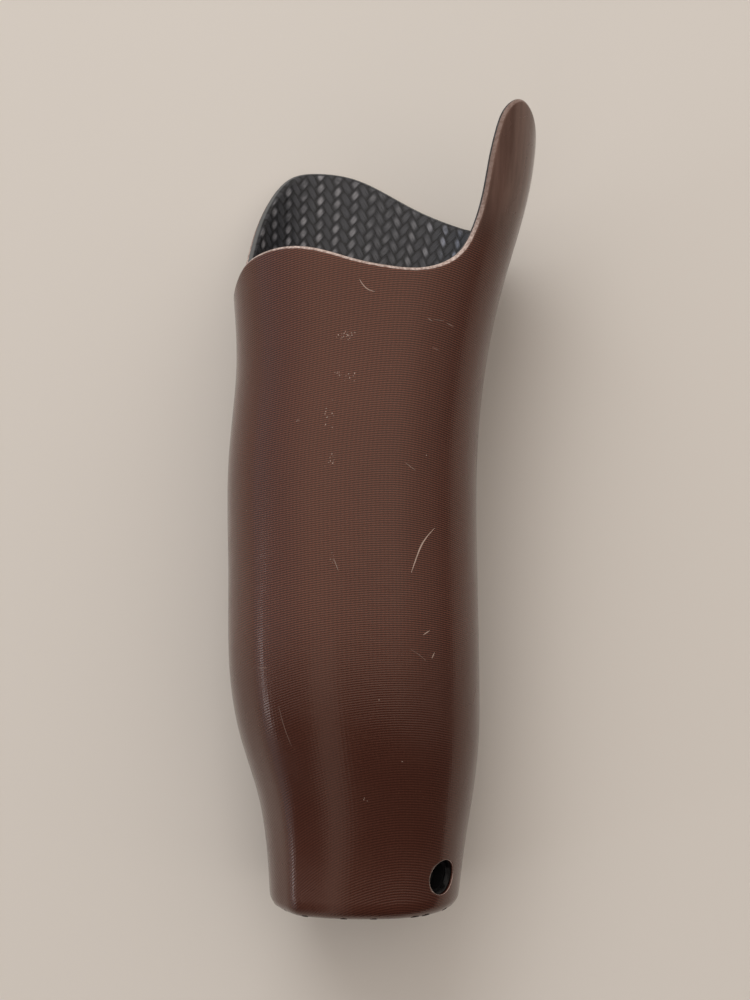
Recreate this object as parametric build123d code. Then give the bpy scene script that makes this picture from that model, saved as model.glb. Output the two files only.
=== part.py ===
from build123d import *

import os
from math import copysign, cos, degrees, exp, pi, radians, sin

# Below-elbow prosthetic socket with a quick-release wrist laminated into its end.
# Millimetres. The socket lies on its underside: +Y runs along the forearm to the elbow,
# +Z is up and +X points to the tall wing of the brim. The origin is the centre of the
# wrist mouth, on the wrist face, and every "along" value is a distance from that face.

# ---- Forearm: reach of the outside from the wrist axis, station by station ----
# (along, left, right, up, down, superellipse power of the upper half)
FOREARM = [
    (0.0, 36.0, 35.9, 34.6, 34.6, 2.5),
    (24.0, 37.5, 38.8, 37.0, 35.0, 2.35),
    (44.0, 40.9, 41.8, 41.2, 35.0, 2.22),
    (64.0, 46.8, 43.7, 46.2, 35.0, 2.14),
    (84.0, 50.4, 43.8, 49.4, 35.0, 2.12),
    (125.0, 51.3, 43.0, 51.2, 35.0, 2.12),
    (172.0, 51.0, 43.0, 51.3, 35.0, 2.12),
    (204.0, 48.3, 46.2, 50.2, 35.0, 2.12),
    (236.0, 49.8, 53.1, 49.6, 35.0, 2.12),
    (272.0, 51.6, 63.0, 49.4, 35.0, 2.12),
    (312.0, 52.0, 66.2, 48.6, 34.0, 2.12),
]
SECTION_POINTS = 32         # points that carry each section's curve
UNDERSIDE_POWER = 2.5       # the underside is a little squarer than the top
CREST_ANGLE = -43.0         # soft bony crest, degrees from straight up towards +X
CREST_WIDTH = 13.0
CREST_HEIGHT = 1.0
CREST_FADE = 165.0          # the crest has died out here
WRIST_CORNER = 5.0          # rounding of the outer edge of the wrist end

# ---- Laminate ----
SKIN = 1.4                  # brown knitted outer layer
CARBON = 2.0                # braided carbon layer inside it
BOND = 0.05                 # resin line between separate layers

# ---- Brim: (angle from straight up towards +X, along) round the forearm ----
BRIM_AXIS_X = 2.0
BRIM_AXIS_Z = 8.0
BRIM = [
    (-92, 231.6), (-79, 233.0), (-66, 240.0), (-53, 244.0), (-38, 245.3), (-23, 243.5),
    (-7, 240.0), (9, 237.7), (24, 237.0), (36, 239.0), (45, 243.8), (50.5, 252.5),
    (53.5, 264.0), (55.3, 277.5), (58, 289.0), (63, 298.3), (69, 301.3), (76, 298.7),
    (85, 290.0), (97, 276.0), (110, 265.5), (124, 260.6), (138, 263.8), (155, 270.5),
    (173, 278.4), (191, 284.0), (207, 285.3), (220, 283.3), (232, 273.0), (243, 255.5),
    (254, 239.0),
]
BRIM_REACH = 50.0           # about the wall's distance, for even steps along the curve
BRIM_INNER_REACH = 12.0     # the trimming surface starts inside the cavity
BRIM_OUTER_REACH = 95.0     # and ends outside the forearm
BRIM_CLEAR_END = 330.0

# ---- Bowl that closes the limb cavity ----
BOWL_BOTTOM = 52.0
BOWL_RADIUS = 60.0
BOWL_WALL = 2.0
BOWL_CENTRE_X = -1.0
BOWL_CENTRE_Z = 5.0

# ---- Fits ----
SLIP = 0.05                 # radial gap of bonded and slipped-in parts
RUN = 0.05                  # gap beside parts that turn or slide
THREAD = 0.02               # gap round screw threads

# ---- Wrist housing, from the wrist face inwards ----
STUD_RADIUS = 6.35          # the hand's stud
STUD_SLIDE = 0.02
HOUSING_RADIUS = 23.0
HOUSING_LENGTH = 26.0
FLANGE_RADIUS = 25.0
FLANGE_THICK = 4.0
GROOVE_DEPTH = 1.0
GROOVE_WIDTH = 2.0
GROOVES = (10.0, 18.0)
RING_THICK = 2.0
RING_BORE = 15.0
FLANGE_TO_RING = 2.0        # flange wall left round the face ring
WASHER_THICK = 0.8
ROTOR_RADIUS = 18.8
ROTOR_THICK = 2.35
EDGE = 0.3                  # small chamfers on turned parts
BOSS_GAP = 0.2
JOURNAL_RADIUS = 11.0
SPRING_THICK = 0.6
SPRING_HEIGHT = 1.5
SPRING_BORE = 13.5
BUSH_WALL = 2.0
BUSH_LENGTH = 4.3
KEY_WIDTH = 2.5
KEY_DEPTH = 0.8
WEB_LIP = 1.2               # lip that the bush stands on
STUD_CLEAR = 0.45           # air round the stud behind the rotor
SEAL_THICK = 1.0            # dust seal, across and along
SEAL_LIP = 0.25             # width of the lip that wipes the rotor

# ---- Latch ----
LATCH_ANGLE = 48.5          # the button's side, degrees from straight up towards +X
LATCH_THICK = 4.4
LATCH_WIDTH = 20.0
LATCH_FRONT = 15.0          # reach of the plate towards the button
LATCH_BACK = 13.5           # and away from it
LATCH_CORNER = 4.0
LATCH_TRAVEL = 3.0
LATCH_BACK_ROOM = 1.0       # left behind the pressed plate
NECK_RADIUS = 4.5           # keyhole round the stud's neck
MOUTH_CLEAR = 0.35          # keyhole's wide part past the stud
SPRING_WIRE = 0.6           # side of the springs' square wire
SPRING_RADIUS = 1.7         # middle of the coil's wire
SPRING_TURNS = 4
SPRING_SPACING = 10.0
SPRING_POCKET = 2.0
STEM_RADIUS = 1.5
STEM_BITE = 4.5             # screwed into the plate
BUTTON_RADIUS = 5.0
BUTTON_START = 24.5
BUTTON_LENGTH = 6.2
BUTTON_BITE = 4.0           # stem's depth in the button
BUTTON_EDGE = 0.8
BUTTON_WELL = 20.8          # floor of the button's counterbore in the housing
BUSH_BORE = 5.15
HATCH_RADIUS = 6.5          # hole through the laminate over the button

# ---- Back of the housing ----
POCKET_RADIUS = 19.0
PILOT_THICK = 7.8
PILOT_BORE = 4.5
PILOT_FLOOR = 2.0
PILOT_PITCH = 15.5
PILOT_SCREW = 1.5
PILOT_HEAD = 2.75
PILOT_HEAD_THICK = 3.0
PILOT_SCREW_LENGTH = 12.5
PILOT_ANGLES = (60, 120, 240, 300)
GASKET_THICK = 0.5
CAP_THICK = 2.5
CAP_SCREW = 1.0
CAP_SCREW_LENGTH = 8.0
CAP_SCREWS = 3
FACE_SCREW = 1.0
FACE_SCREW_LENGTH = 7.5
FACE_SCREWS = 4
FACE_SCREW_TURN = 45.0
SCREW_HEAD = 1.9            # radius of the small screws' heads
SLOT_WIDTH = 0.6
SLOT_DEPTH = 0.5

# ---- Places that follow from the sizes above ----
CARBON_INSET = SKIN + BOND
CORE_INSET = CARBON_INSET + CARBON
FOAM_INSET = CORE_INSET + BOND
RING_RADIUS = FLANGE_RADIUS - FLANGE_TO_RING
SCREW_PITCH = (RING_RADIUS + ROTOR_RADIUS) / 2
BOSS_RADIUS = RING_BORE - BOSS_GAP
ROTOR_FRONT = RING_THICK + WASHER_THICK + RUN
ROTOR_BACK = ROTOR_FRONT + ROTOR_THICK
SEAT = ROTOR_BACK + RUN + SPRING_HEIGHT
BUSH_RADIUS = JOURNAL_RADIUS + RUN + BUSH_WALL
BUSH_END = SEAT + BUSH_LENGTH
JOURNAL_END = BUSH_END - RUN
LATCH_FLOOR = BUSH_END + WEB_LIP
LATCH_ROOF = LATCH_FLOOR + LATCH_THICK + 2 * RUN
LATCH_MIDDLE = (LATCH_FLOOR + LATCH_ROOF) / 2
MOUTH_RADIUS = STUD_RADIUS + MOUTH_CLEAR
STUD_PASSAGE = STUD_RADIUS + STUD_CLEAR
CHANNEL_BACK = LATCH_BACK + LATCH_TRAVEL + LATCH_BACK_ROOM
STUD_BORE = STUD_RADIUS + STUD_SLIDE
CAP_START = HOUSING_LENGTH + GASKET_THICK
BUTTON_WAY = Vector(sin(radians(LATCH_ANGLE)), 0, cos(radians(LATCH_ANGLE)))


# ---- Helpers ----
def disc(radius, start, end):
    """A cylinder about the wrist axis."""
    plane = Plane(origin=(0, start, 0), z_dir=(0, 1, 0))
    return plane * Cylinder(radius, end - start, align=(Align.CENTER, Align.CENTER, Align.MIN))


def turned(*outline):
    """A solid turned about the wrist axis from (radius, along) corners."""
    return revolve(make_face(Polyline(*outline, close=True)), Axis.Y)


def spoke(radius, start, end):
    """A round bar along the button's axis, between two distances from the wrist axis."""
    plane = Plane(origin=BUTTON_WAY * start + Vector(0, LATCH_MIDDLE, 0), z_dir=BUTTON_WAY)
    return plane * Cylinder(radius, end - start, align=(Align.CENTER, Align.CENTER, Align.MIN))


def latch_plane(along):
    """Plane square to the wrist axis, with its x axis towards the button."""
    return Plane(origin=(0, along, 0), x_dir=BUTTON_WAY, z_dir=(0, 1, 0))


def screw(thread, head, length, head_length, countersunk):
    """A slotted screw along +Z with the top of its head at zero and its thread below."""
    if countersunk:
        top = Cone(thread, head, head_length, align=(Align.CENTER, Align.CENTER, Align.MAX))
    else:
        top = Cylinder(head, head_length, align=(Align.CENTER, Align.CENTER, Align.MAX))
    shank = Pos(0, 0, -head_length) * Cylinder(
        thread, length, align=(Align.CENTER, Align.CENTER, Align.MAX)
    )
    slot = Box(2 * head, SLOT_WIDTH, SLOT_DEPTH, align=(Align.CENTER, Align.CENTER, Align.MAX))
    return top + shank - slot


def screw_room(thread, head, length, head_length, countersunk):
    """The hole that such a screw needs, with the thread's gap all round."""
    if countersunk:
        top = Cone(thread, head, head_length, align=(Align.CENTER, Align.CENTER, Align.MAX))
        top = top + Cylinder(head, SLIP, align=(Align.CENTER, Align.CENTER, Align.MIN))
    else:
        top = Cylinder(head + SLIP, head_length, align=(Align.CENTER, Align.CENTER, Align.MAX))
    shank = Cylinder(
        thread + THREAD, head_length + length, align=(Align.CENTER, Align.CENTER, Align.MAX)
    )
    return top + shank


# ---- The forearm's form ----
def crest(angle, along):
    """How far the crest stands proud of the plain section."""
    off = (angle - CREST_ANGLE + 180) % 360 - 180
    fade = max(0.0, 1 - (along / CREST_FADE) ** 2)
    return CREST_HEIGHT * fade * exp(-((off / CREST_WIDTH) ** 2))


def section(station, inset, along):
    """Closed curve of the forearm at a station, moved inwards by an inset."""
    station_along, left, right, up, down, top_power = station
    middle_x = (right - left) / 2
    middle_z = (up - down) / 2
    half_x = (right + left) / 2 - inset
    half_z = (up + down) / 2 - inset
    points = []
    for i in range(SECTION_POINTS):
        turn = 2 * pi * i / SECTION_POINTS
        under = (1 - cos(turn)) / 2
        power = 2 / (top_power + (UNDERSIDE_POWER - top_power) * under)
        proud = crest(degrees(turn), station_along)
        x = middle_x + (half_x + proud) * copysign(abs(sin(turn)) ** power, sin(turn))
        z = middle_z + (half_z + proud) * copysign(abs(cos(turn)) ** power, cos(turn))
        points.append(Vector(x, along, z))
    shares = [i / SECTION_POINTS for i in range(SECTION_POINTS + 1)]
    return Wire([Edge.make_spline(points, periodic=True, parameters=shares)])


def forearm(inset):
    """Solid forearm, all its faces moved inwards by an inset, with the wrist end rounded."""
    sections = []
    for station in FOREARM:
        along = station[0] if station[0] > 0 else inset
        sections.append(section(station, inset, along))
    form = Solid.make_loft(sections)
    wrist_edge = form.edges().sort_by(Axis.Y)[0]
    return form.fillet(WRIST_CORNER - inset, [wrist_edge])


def brim_points(reach, along=None):
    """The brim's points at a distance from the brim's own axis, or all at one height."""
    points = []
    for angle, height in BRIM:
        x = BRIM_AXIS_X + reach * sin(radians(angle))
        z = BRIM_AXIS_Z + reach * cos(radians(angle))
        points.append(Vector(x, height if along is None else along, z))
    return points


def brim_loop(reach, along=None):
    """The brim's closed curve, in step with every other reach so that the cut is radial."""
    wall = brim_points(BRIM_REACH)
    run = [0.0]
    for here, there in zip(wall, wall[1:] + wall[:1]):
        run.append(run[-1] + (there - here).length)
    shares = [length / run[-1] for length in run]
    return Edge.make_spline(brim_points(reach, along), periodic=True, parameters=shares)


def above_brim():
    """Everything past the trim line, as one solid to cut away."""
    inner, outer = brim_loop(BRIM_INNER_REACH), brim_loop(BRIM_OUTER_REACH)
    inner_end = brim_loop(BRIM_INNER_REACH, BRIM_CLEAR_END)
    outer_end = brim_loop(BRIM_OUTER_REACH, BRIM_CLEAR_END)
    faces = [
        Face.make_surface_from_curves(inner, outer),
        Face.make_surface_from_curves(inner, inner_end),
        Face.make_surface_from_curves(outer, outer_end),
        Face(Wire([outer_end]), [Wire([inner_end])]),
    ]
    return Solid(Shell(faces)).fix()


SKIN_FORM = forearm(0.0)
SKIN_LINING = forearm(SKIN)
CARBON_FORM = forearm(CARBON_INSET)
CORE = forearm(CORE_INSET)
FOAM_FORM = forearm(FOAM_INSET)
ABOVE_BRIM = above_brim()


# ---- Laminate shells ----
def layer(outside, inside):
    """One layer of the laminate, trimmed at the brim, bored at the wrist and at the button."""
    shell = outside - inside - ABOVE_BRIM
    shell = shell - disc(FLANGE_RADIUS + SLIP, -1, WRIST_CORNER)
    return shell - spoke(HATCH_RADIUS, HOUSING_RADIUS, 2 * HOUSING_RADIUS)


def outer_shell():
    return layer(SKIN_FORM, SKIN_LINING)


def carbon_frame():
    return layer(CARBON_FORM, CORE)


# ---- Cavity floor and filler ----
def ball(radius):
    return Pos(BOWL_CENTRE_X, BOWL_BOTTOM + BOWL_RADIUS, BOWL_CENTRE_Z) * Sphere(radius)


def below(along):
    """A block that holds everything nearer the wrist than this."""
    width = 4 * FLANGE_RADIUS
    return Pos(0, along, 0) * Box(width, width, width, align=(Align.CENTER, Align.MAX, Align.CENTER))


def end_cup():
    """Bowl under the limb's tip, its edge against the carbon all round."""
    cup = FOAM_FORM & below(BOWL_BOTTOM + BOWL_RADIUS / 2) & ball(BOWL_RADIUS + BOWL_WALL)
    return cup - ball(BOWL_RADIUS)


def wrist_block():
    """Rigid foam between the wrist housing, the carbon and the bowl."""
    block = FOAM_FORM & below(BOWL_BOTTOM + BOWL_RADIUS / 2)
    block = block - ball(BOWL_RADIUS + BOWL_WALL)
    block = block - disc(FLANGE_RADIUS + SLIP, 0, FLANGE_THICK)
    block = block - disc(HOUSING_RADIUS + SLIP, 0, CAP_START + CAP_THICK + SLIP)
    block = block.solids().sort_by(Axis.Y)[0]
    return block - spoke(HATCH_RADIUS, HOUSING_RADIUS - 1, 2 * HOUSING_RADIUS)


# ---- Wrist housing and what turns in it ----
def wrist_housing():
    """Turned aluminium body, bored from the face and from the back."""
    pocket = POCKET_RADIUS
    body = turned(
        (RING_RADIUS + SLIP, 0), (FLANGE_RADIUS - EDGE, 0), (FLANGE_RADIUS, EDGE),
        (FLANGE_RADIUS, FLANGE_THICK), (HOUSING_RADIUS, FLANGE_THICK),
        (HOUSING_RADIUS, HOUSING_LENGTH), (pocket, HOUSING_LENGTH), (pocket, LATCH_ROOF),
        (STUD_PASSAGE, LATCH_ROOF), (STUD_PASSAGE, BUSH_END), (BUSH_RADIUS + SLIP, BUSH_END),
        (BUSH_RADIUS + SLIP, SEAT), (ROTOR_RADIUS + BOSS_GAP, SEAT),
        (ROTOR_RADIUS + BOSS_GAP, RING_THICK), (RING_RADIUS + SLIP, RING_THICK),
    )
    for start in GROOVES:
        ring = disc(HOUSING_RADIUS + 1, start, start + GROOVE_WIDTH)
        body = body - (ring - disc(HOUSING_RADIUS - GROOVE_DEPTH, start, start + GROOVE_WIDTH))
    length = CHANNEL_BACK + LATCH_FRONT + RUN
    channel = latch_plane(LATCH_FLOOR) * Pos((LATCH_FRONT + RUN - CHANNEL_BACK) / 2, 0, 0) * Box(
        length, LATCH_WIDTH + 2 * RUN, LATCH_ROOF, align=(Align.CENTER, Align.CENTER, Align.MIN)
    )
    body = body - (channel & disc(pocket, LATCH_FLOOR, LATCH_ROOF))
    body = body - spoke(STEM_RADIUS + BOSS_GAP, LATCH_FRONT - 1, BUTTON_WELL)
    body = body - spoke(BUSH_BORE + SLIP, BUTTON_WELL, HOUSING_RADIUS + 1)
    body = body - pilot_screw_places(screw_room) - cap_screw_places(screw_room)
    return body - face_screw_places(screw_room)


def ring_places(count, turn, pitch, plane, item):
    """Copies of an item on a circle about a plane's axis."""
    items = []
    for i in range(count):
        angle = radians(turn + 360 * i / count)
        items.append(plane * Pos(pitch * cos(angle), pitch * sin(angle), 0) * item)
    return items


def face_screw_places(make):
    item = make(FACE_SCREW, SCREW_HEAD, FACE_SCREW_LENGTH, SCREW_HEAD - FACE_SCREW, True)
    plane = Plane(origin=(0, 0, 0), x_dir=(1, 0, 0), z_dir=(0, -1, 0))
    return ring_places(FACE_SCREWS, FACE_SCREW_TURN, SCREW_PITCH, plane, item)


def cap_screw_places(make):
    item = make(CAP_SCREW, SCREW_HEAD, CAP_SCREW_LENGTH, SCREW_HEAD - CAP_SCREW, True)
    plane = latch_plane(CAP_START + CAP_THICK)
    return ring_places(CAP_SCREWS, 180 / CAP_SCREWS, SCREW_PITCH, plane, item)


def pilot_screw_places(make):
    item = make(PILOT_SCREW, PILOT_HEAD, PILOT_SCREW_LENGTH, PILOT_HEAD_THICK, False)
    plane = latch_plane(LATCH_ROOF + PILOT_THICK)
    places = []
    for angle in PILOT_ANGLES:
        places += ring_places(1, angle, PILOT_PITCH, plane, item)
    return places


def face_ring():
    """Front ring that keeps the rotor in, with the dust seal's groove in its bore."""
    middle = RING_THICK / 2
    half = SEAL_THICK / 2
    floor = BOSS_RADIUS + RUN + SEAL_THICK
    ring = turned(
        (RING_BORE, EDGE), (RING_BORE + EDGE, 0), (RING_RADIUS - EDGE, 0), (RING_RADIUS, EDGE),
        (RING_RADIUS, RING_THICK), (RING_BORE, RING_THICK), (RING_BORE, middle + half),
        (floor, middle + half), (floor, middle - half), (RING_BORE, middle - half),
    )
    return ring - face_screw_places(screw_room)


def face_screws():
    return Compound(children=face_screw_places(screw))


def dust_seal():
    """Rubber ring that narrows inwards to the lip on the rotor's boss."""
    lip = BOSS_RADIUS + RUN
    middle, half = RING_THICK / 2, SEAL_THICK / 2
    return turned(
        (lip, middle - SEAL_LIP / 2), (lip + half, middle - half), (lip + SEAL_THICK, middle - half),
        (lip + SEAL_THICK, middle + half), (lip + half, middle + half), (lip, middle + SEAL_LIP / 2),
    )


def friction_washer():
    """Nylon washer whose squeeze sets how stiffly the hand turns."""
    outer = ROTOR_RADIUS + BOSS_GAP - SLIP
    return disc(outer, RING_THICK, RING_THICK + WASHER_THICK) - disc(
        RING_BORE + SLIP, RING_THICK, RING_THICK + WASHER_THICK
    )


def wrist_rotor():
    """Steel rotor: boss in the face ring, flange on the washer, journal in the bush."""
    rotor = turned(
        (STUD_BORE, 0), (BOSS_RADIUS - EDGE, 0), (BOSS_RADIUS, EDGE),
        (BOSS_RADIUS, ROTOR_FRONT), (ROTOR_RADIUS, ROTOR_FRONT), (ROTOR_RADIUS, ROTOR_BACK),
        (JOURNAL_RADIUS, ROTOR_BACK), (JOURNAL_RADIUS, JOURNAL_END), (STUD_BORE, JOURNAL_END),
    )
    reach = STUD_BORE + KEY_DEPTH
    key = Box(KEY_WIDTH, 2 * JOURNAL_END + 2, 2 * reach)
    return rotor - (key & disc(reach, -1, JOURNAL_END + 1))


def disc_spring():
    """Dished spring that presses the rotor's flange on the washer."""
    start = ROTOR_BACK + RUN
    outer = ROTOR_RADIUS - SLIP
    return turned(
        (SPRING_BORE, SEAT - SPRING_THICK), (outer, start), (outer, start + SPRING_THICK),
        (SPRING_BORE, SEAT),
    )


def rotor_bush():
    return disc(BUSH_RADIUS, SEAT, BUSH_END) - disc(JOURNAL_RADIUS + RUN, SEAT, BUSH_END)


# ---- Latch and button ----
def latch_plate():
    """Sliding plate with a keyhole that grips the stud's neck."""
    blank = Rectangle(LATCH_BACK + LATCH_FRONT, LATCH_WIDTH)
    blank = fillet(blank.vertices(), LATCH_CORNER)
    outline = Pos((LATCH_FRONT - LATCH_BACK) / 2, 0) * blank
    keyhole = Circle(NECK_RADIUS) + Pos(LATCH_TRAVEL, 0) * Circle(MOUTH_RADIUS)
    plate = latch_plane(LATCH_FLOOR + RUN) * extrude(outline - keyhole, LATCH_THICK)
    for side in (-1, 1):
        place = Location((-LATCH_BACK, side * SPRING_SPACING / 2, 0), (0, 90, 0))
        pocket = place * Cylinder(
            SPRING_RADIUS + SPRING_WIRE / 2 + SLIP, 2 * SPRING_POCKET
        )
        plate = plate - latch_plane(LATCH_MIDDLE) * pocket
    return plate - spoke(STEM_RADIUS, LATCH_FRONT - STEM_BITE, LATCH_FRONT + 1)


def latch_springs():
    """Two coil springs between the plate's pockets and the channel's end."""
    start = -CHANNEL_BACK + SPRING_WIRE / 2
    end = -LATCH_BACK + SPRING_POCKET - SPRING_WIRE / 2
    coil = Edge.make_helix((end - start) / SPRING_TURNS, end - start, SPRING_RADIUS)
    wire_plane = Plane(origin=coil @ 0, x_dir=(1, 0, 0), z_dir=coil % 0)
    wire = sweep(wire_plane * Rectangle(SPRING_WIRE, SPRING_WIRE), path=coil, is_frenet=True)
    springs = []
    for side in (-1, 1):
        place = Location((start, side * SPRING_SPACING / 2, 0), (0, 90, 0))
        springs.append(latch_plane(LATCH_MIDDLE) * place * wire)
    return Compound(children=springs)


def button_stem():
    return spoke(STEM_RADIUS, LATCH_FRONT - STEM_BITE, BUTTON_START + BUTTON_BITE)


def release_button():
    button = spoke(BUTTON_RADIUS, BUTTON_START, BUTTON_START + BUTTON_LENGTH)
    rim = button.edges().filter_by(GeomType.CIRCLE).sort_by(lambda e: e.center().dot(BUTTON_WAY))[-1]
    button = fillet(rim, BUTTON_EDGE)
    return button - spoke(STEM_RADIUS, BUTTON_START - 1, BUTTON_START + BUTTON_BITE)


def button_bush():
    """Sleeve in the filler, flush with the inside of the carbon."""
    sleeve = spoke(HATCH_RADIUS - SLIP, HOUSING_RADIUS + SLIP, 2 * HOUSING_RADIUS)
    return (sleeve & FOAM_FORM) - spoke(BUSH_BORE, HOUSING_RADIUS, 2 * HOUSING_RADIUS)


# ---- Back of the housing ----
def pilot_plate():
    """Plug that roofs the latch and guides the stud's tip."""
    end = LATCH_ROOF + PILOT_THICK
    plate = disc(POCKET_RADIUS - SLIP, LATCH_ROOF, end)
    plate = plate - disc(PILOT_BORE, LATCH_ROOF, end - PILOT_FLOOR)
    return plate - pilot_screw_places(screw_room)


def pilot_screws():
    return Compound(children=pilot_screw_places(screw))


def cap_gasket():
    gasket = disc(HOUSING_RADIUS, HOUSING_LENGTH, CAP_START)
    gasket = gasket - disc(POCKET_RADIUS, HOUSING_LENGTH, CAP_START)
    return gasket - cap_screw_places(screw_room)


def housing_cap():
    """Lid that keeps resin and sweat out of the housing."""
    return disc(HOUSING_RADIUS, CAP_START, CAP_START + CAP_THICK) - cap_screw_places(screw_room)


def cap_screws():
    return Compound(children=cap_screw_places(screw))


NODES = [
    outer_shell, carbon_frame, end_cup, wrist_block, wrist_housing, face_ring, face_screws,
    dust_seal, friction_washer, wrist_rotor, disc_spring, rotor_bush, latch_plate,
    latch_springs, button_stem, release_button, button_bush, pilot_plate, pilot_screws,
    cap_gasket, housing_cap, cap_screws,
]

os.makedirs("parts", exist_ok=True)
for make_node in NODES:
    export_step(make_node(), f"parts/{make_node.__name__}.step")
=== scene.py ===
# %% [markdown]
# # A below-elbow prosthetic socket, dressed for the camera
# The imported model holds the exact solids: a two-layer laminate shell, and a quick-release
# wrist in its end. This script keeps them as its frame and gives the shell what solids
# can't have: knitted courses under a gloss coat, a braided lining, a sanded brim and wear.

# %% Load the frame
import math

import bmesh
import bpy
import numpy as np
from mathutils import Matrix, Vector


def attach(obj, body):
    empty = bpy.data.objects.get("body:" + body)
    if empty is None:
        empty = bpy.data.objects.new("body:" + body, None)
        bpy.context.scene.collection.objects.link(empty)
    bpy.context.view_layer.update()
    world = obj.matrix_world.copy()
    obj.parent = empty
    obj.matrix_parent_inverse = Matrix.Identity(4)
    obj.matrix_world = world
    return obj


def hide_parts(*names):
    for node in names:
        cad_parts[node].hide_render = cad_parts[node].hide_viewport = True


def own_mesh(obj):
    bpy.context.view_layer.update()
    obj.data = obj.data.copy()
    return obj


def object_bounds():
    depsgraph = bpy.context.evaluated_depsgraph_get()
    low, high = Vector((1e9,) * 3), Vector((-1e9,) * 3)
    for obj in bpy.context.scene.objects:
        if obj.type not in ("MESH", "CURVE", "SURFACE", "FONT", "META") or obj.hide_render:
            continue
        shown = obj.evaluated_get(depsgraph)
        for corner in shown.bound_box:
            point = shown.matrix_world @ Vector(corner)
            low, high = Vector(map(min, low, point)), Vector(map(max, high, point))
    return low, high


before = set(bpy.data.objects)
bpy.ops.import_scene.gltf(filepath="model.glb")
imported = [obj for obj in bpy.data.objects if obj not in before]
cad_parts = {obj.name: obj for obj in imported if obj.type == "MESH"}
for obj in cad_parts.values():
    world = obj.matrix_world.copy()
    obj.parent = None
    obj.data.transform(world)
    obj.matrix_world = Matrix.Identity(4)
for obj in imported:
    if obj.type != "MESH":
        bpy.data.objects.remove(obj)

MM = 0.001
CAD_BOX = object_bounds()

# %% Objects and attributes


def show(name, data):
    """A new object with this data, in the scene."""
    made = bpy.data.objects.new(name, data)
    bpy.context.scene.collection.objects.link(made)
    return made


def keep_at_points(mesh, label, values):
    """Keeps a number or a vector for each point of a mesh, as an attribute."""
    values = np.asarray(values, np.float32)
    kind, key = ("FLOAT", "value") if values.ndim == 1 else ("FLOAT_VECTOR", "vector")
    mesh.attributes.new(label, kind, "POINT").data.foreach_set(key, values.ravel())


# %% [markdown]
# ## The forearm's form
# The shell follows a plaster model of an arm, so its form is a rule and not a free sculpt:
# every section is a superellipse, and its reach to the left, right, top and underside
# changes smoothly along the arm. Sampling that rule gives an even grid of quads, which takes
# a gloss coat without ripples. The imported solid's own triangles would show as facets.

# %% Stations of the form
# (along, left, right, up, down) from the wrist axis, and the power of the upper half's curve
STATIONS = np.array([
    (0.0, 36.0, 35.9, 34.6, 34.6, 2.5),
    (24.0, 37.5, 38.8, 37.0, 35.0, 2.35),
    (44.0, 40.9, 41.8, 41.2, 35.0, 2.22),
    (64.0, 46.8, 43.7, 46.2, 35.0, 2.14),
    (84.0, 50.4, 43.8, 49.4, 35.0, 2.12),
    (125.0, 51.3, 43.0, 51.2, 35.0, 2.12),
    (172.0, 51.0, 43.0, 51.3, 35.0, 2.12),
    (204.0, 48.3, 46.2, 50.2, 35.0, 2.12),
    (236.0, 49.8, 53.1, 49.6, 35.0, 2.12),
    (272.0, 51.6, 63.0, 49.4, 35.0, 2.12),
    (312.0, 52.0, 66.2, 48.6, 34.0, 2.12),
])
FOREARM, TOP_POWERS = STATIONS[:, :5] * MM, STATIONS[:, 5]
SECTION_POINTS = 32
UNDERSIDE_POWER = 2.5


def smooth_through(x, y):
    """Second slopes of the natural cubic through (x, y), one column of y at a time."""
    gap = np.diff(x)
    bend = np.zeros((len(x), len(x)))
    bend[0, 0] = bend[-1, -1] = 1
    rise = np.zeros_like(y)
    for i in range(1, len(x) - 1):
        bend[i, i - 1:i + 2] = gap[i - 1], 2 * (gap[i - 1] + gap[i]), gap[i]
        rise[i] = 6 * ((y[i + 1] - y[i]) / gap[i] - (y[i] - y[i - 1]) / gap[i - 1])
    return np.linalg.solve(bend, rise)


def cubic(x, y, slopes, at):
    """The natural cubic's value at any places."""
    i = np.clip(np.searchsorted(x, at) - 1, 0, len(x) - 2)
    gap = x[i + 1] - x[i]
    a, b = (x[i + 1] - at) / gap, (at - x[i]) / gap
    if y.ndim > 1:
        a, b, gap = a[..., None], b[..., None], gap[..., None]
    curve = (a**3 - a) * slopes[i] + (b**3 - b) * slopes[i + 1]
    return a * y[i] + b * y[i + 1] + curve * gap**2 / 6


REACH_SLOPES = smooth_through(FOREARM[:, 0], FOREARM[:, 1:])


def reaches(along):
    """Reach to the left, right, top and underside at each place."""
    held = np.clip(along, 0, FOREARM[-1, 0])
    return np.moveaxis(cubic(FOREARM[:, 0], FOREARM[:, 1:], REACH_SLOPES, held), -1, 0)


def round_loops(values):
    """Knots of the periodic cubics through evenly spaced values, one curve to a row."""
    count = values.shape[-1]
    share = 2 / 3 + np.cos(2 * np.pi * np.fft.rfftfreq(count)) / 3
    return np.fft.irfft(np.fft.rfft(values) / share, count)


def on_loops(knots, row, turn):
    """The curves' values at any turns, with a fractional row as a blend of two curves."""
    count = knots.shape[-1]
    low = np.clip(np.floor(row).astype(int), 0, len(knots) - 2)
    place = np.asarray(turn) * count / (2 * np.pi)
    i = np.floor(place).astype(int)
    f = place - i
    weights = ((1 - f)**3, 3 * f**3 - 6 * f**2 + 4, -3 * f**3 + 3 * f**2 + 3 * f + 1, f**3)
    value = 0
    for k, weight in enumerate(weights, -1):
        j = (i + k) % count
        value = value + weight / 6 * (knots[low, j] * (low + 1 - row) + knots[low + 1, j] * (row - low))
    return value


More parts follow.
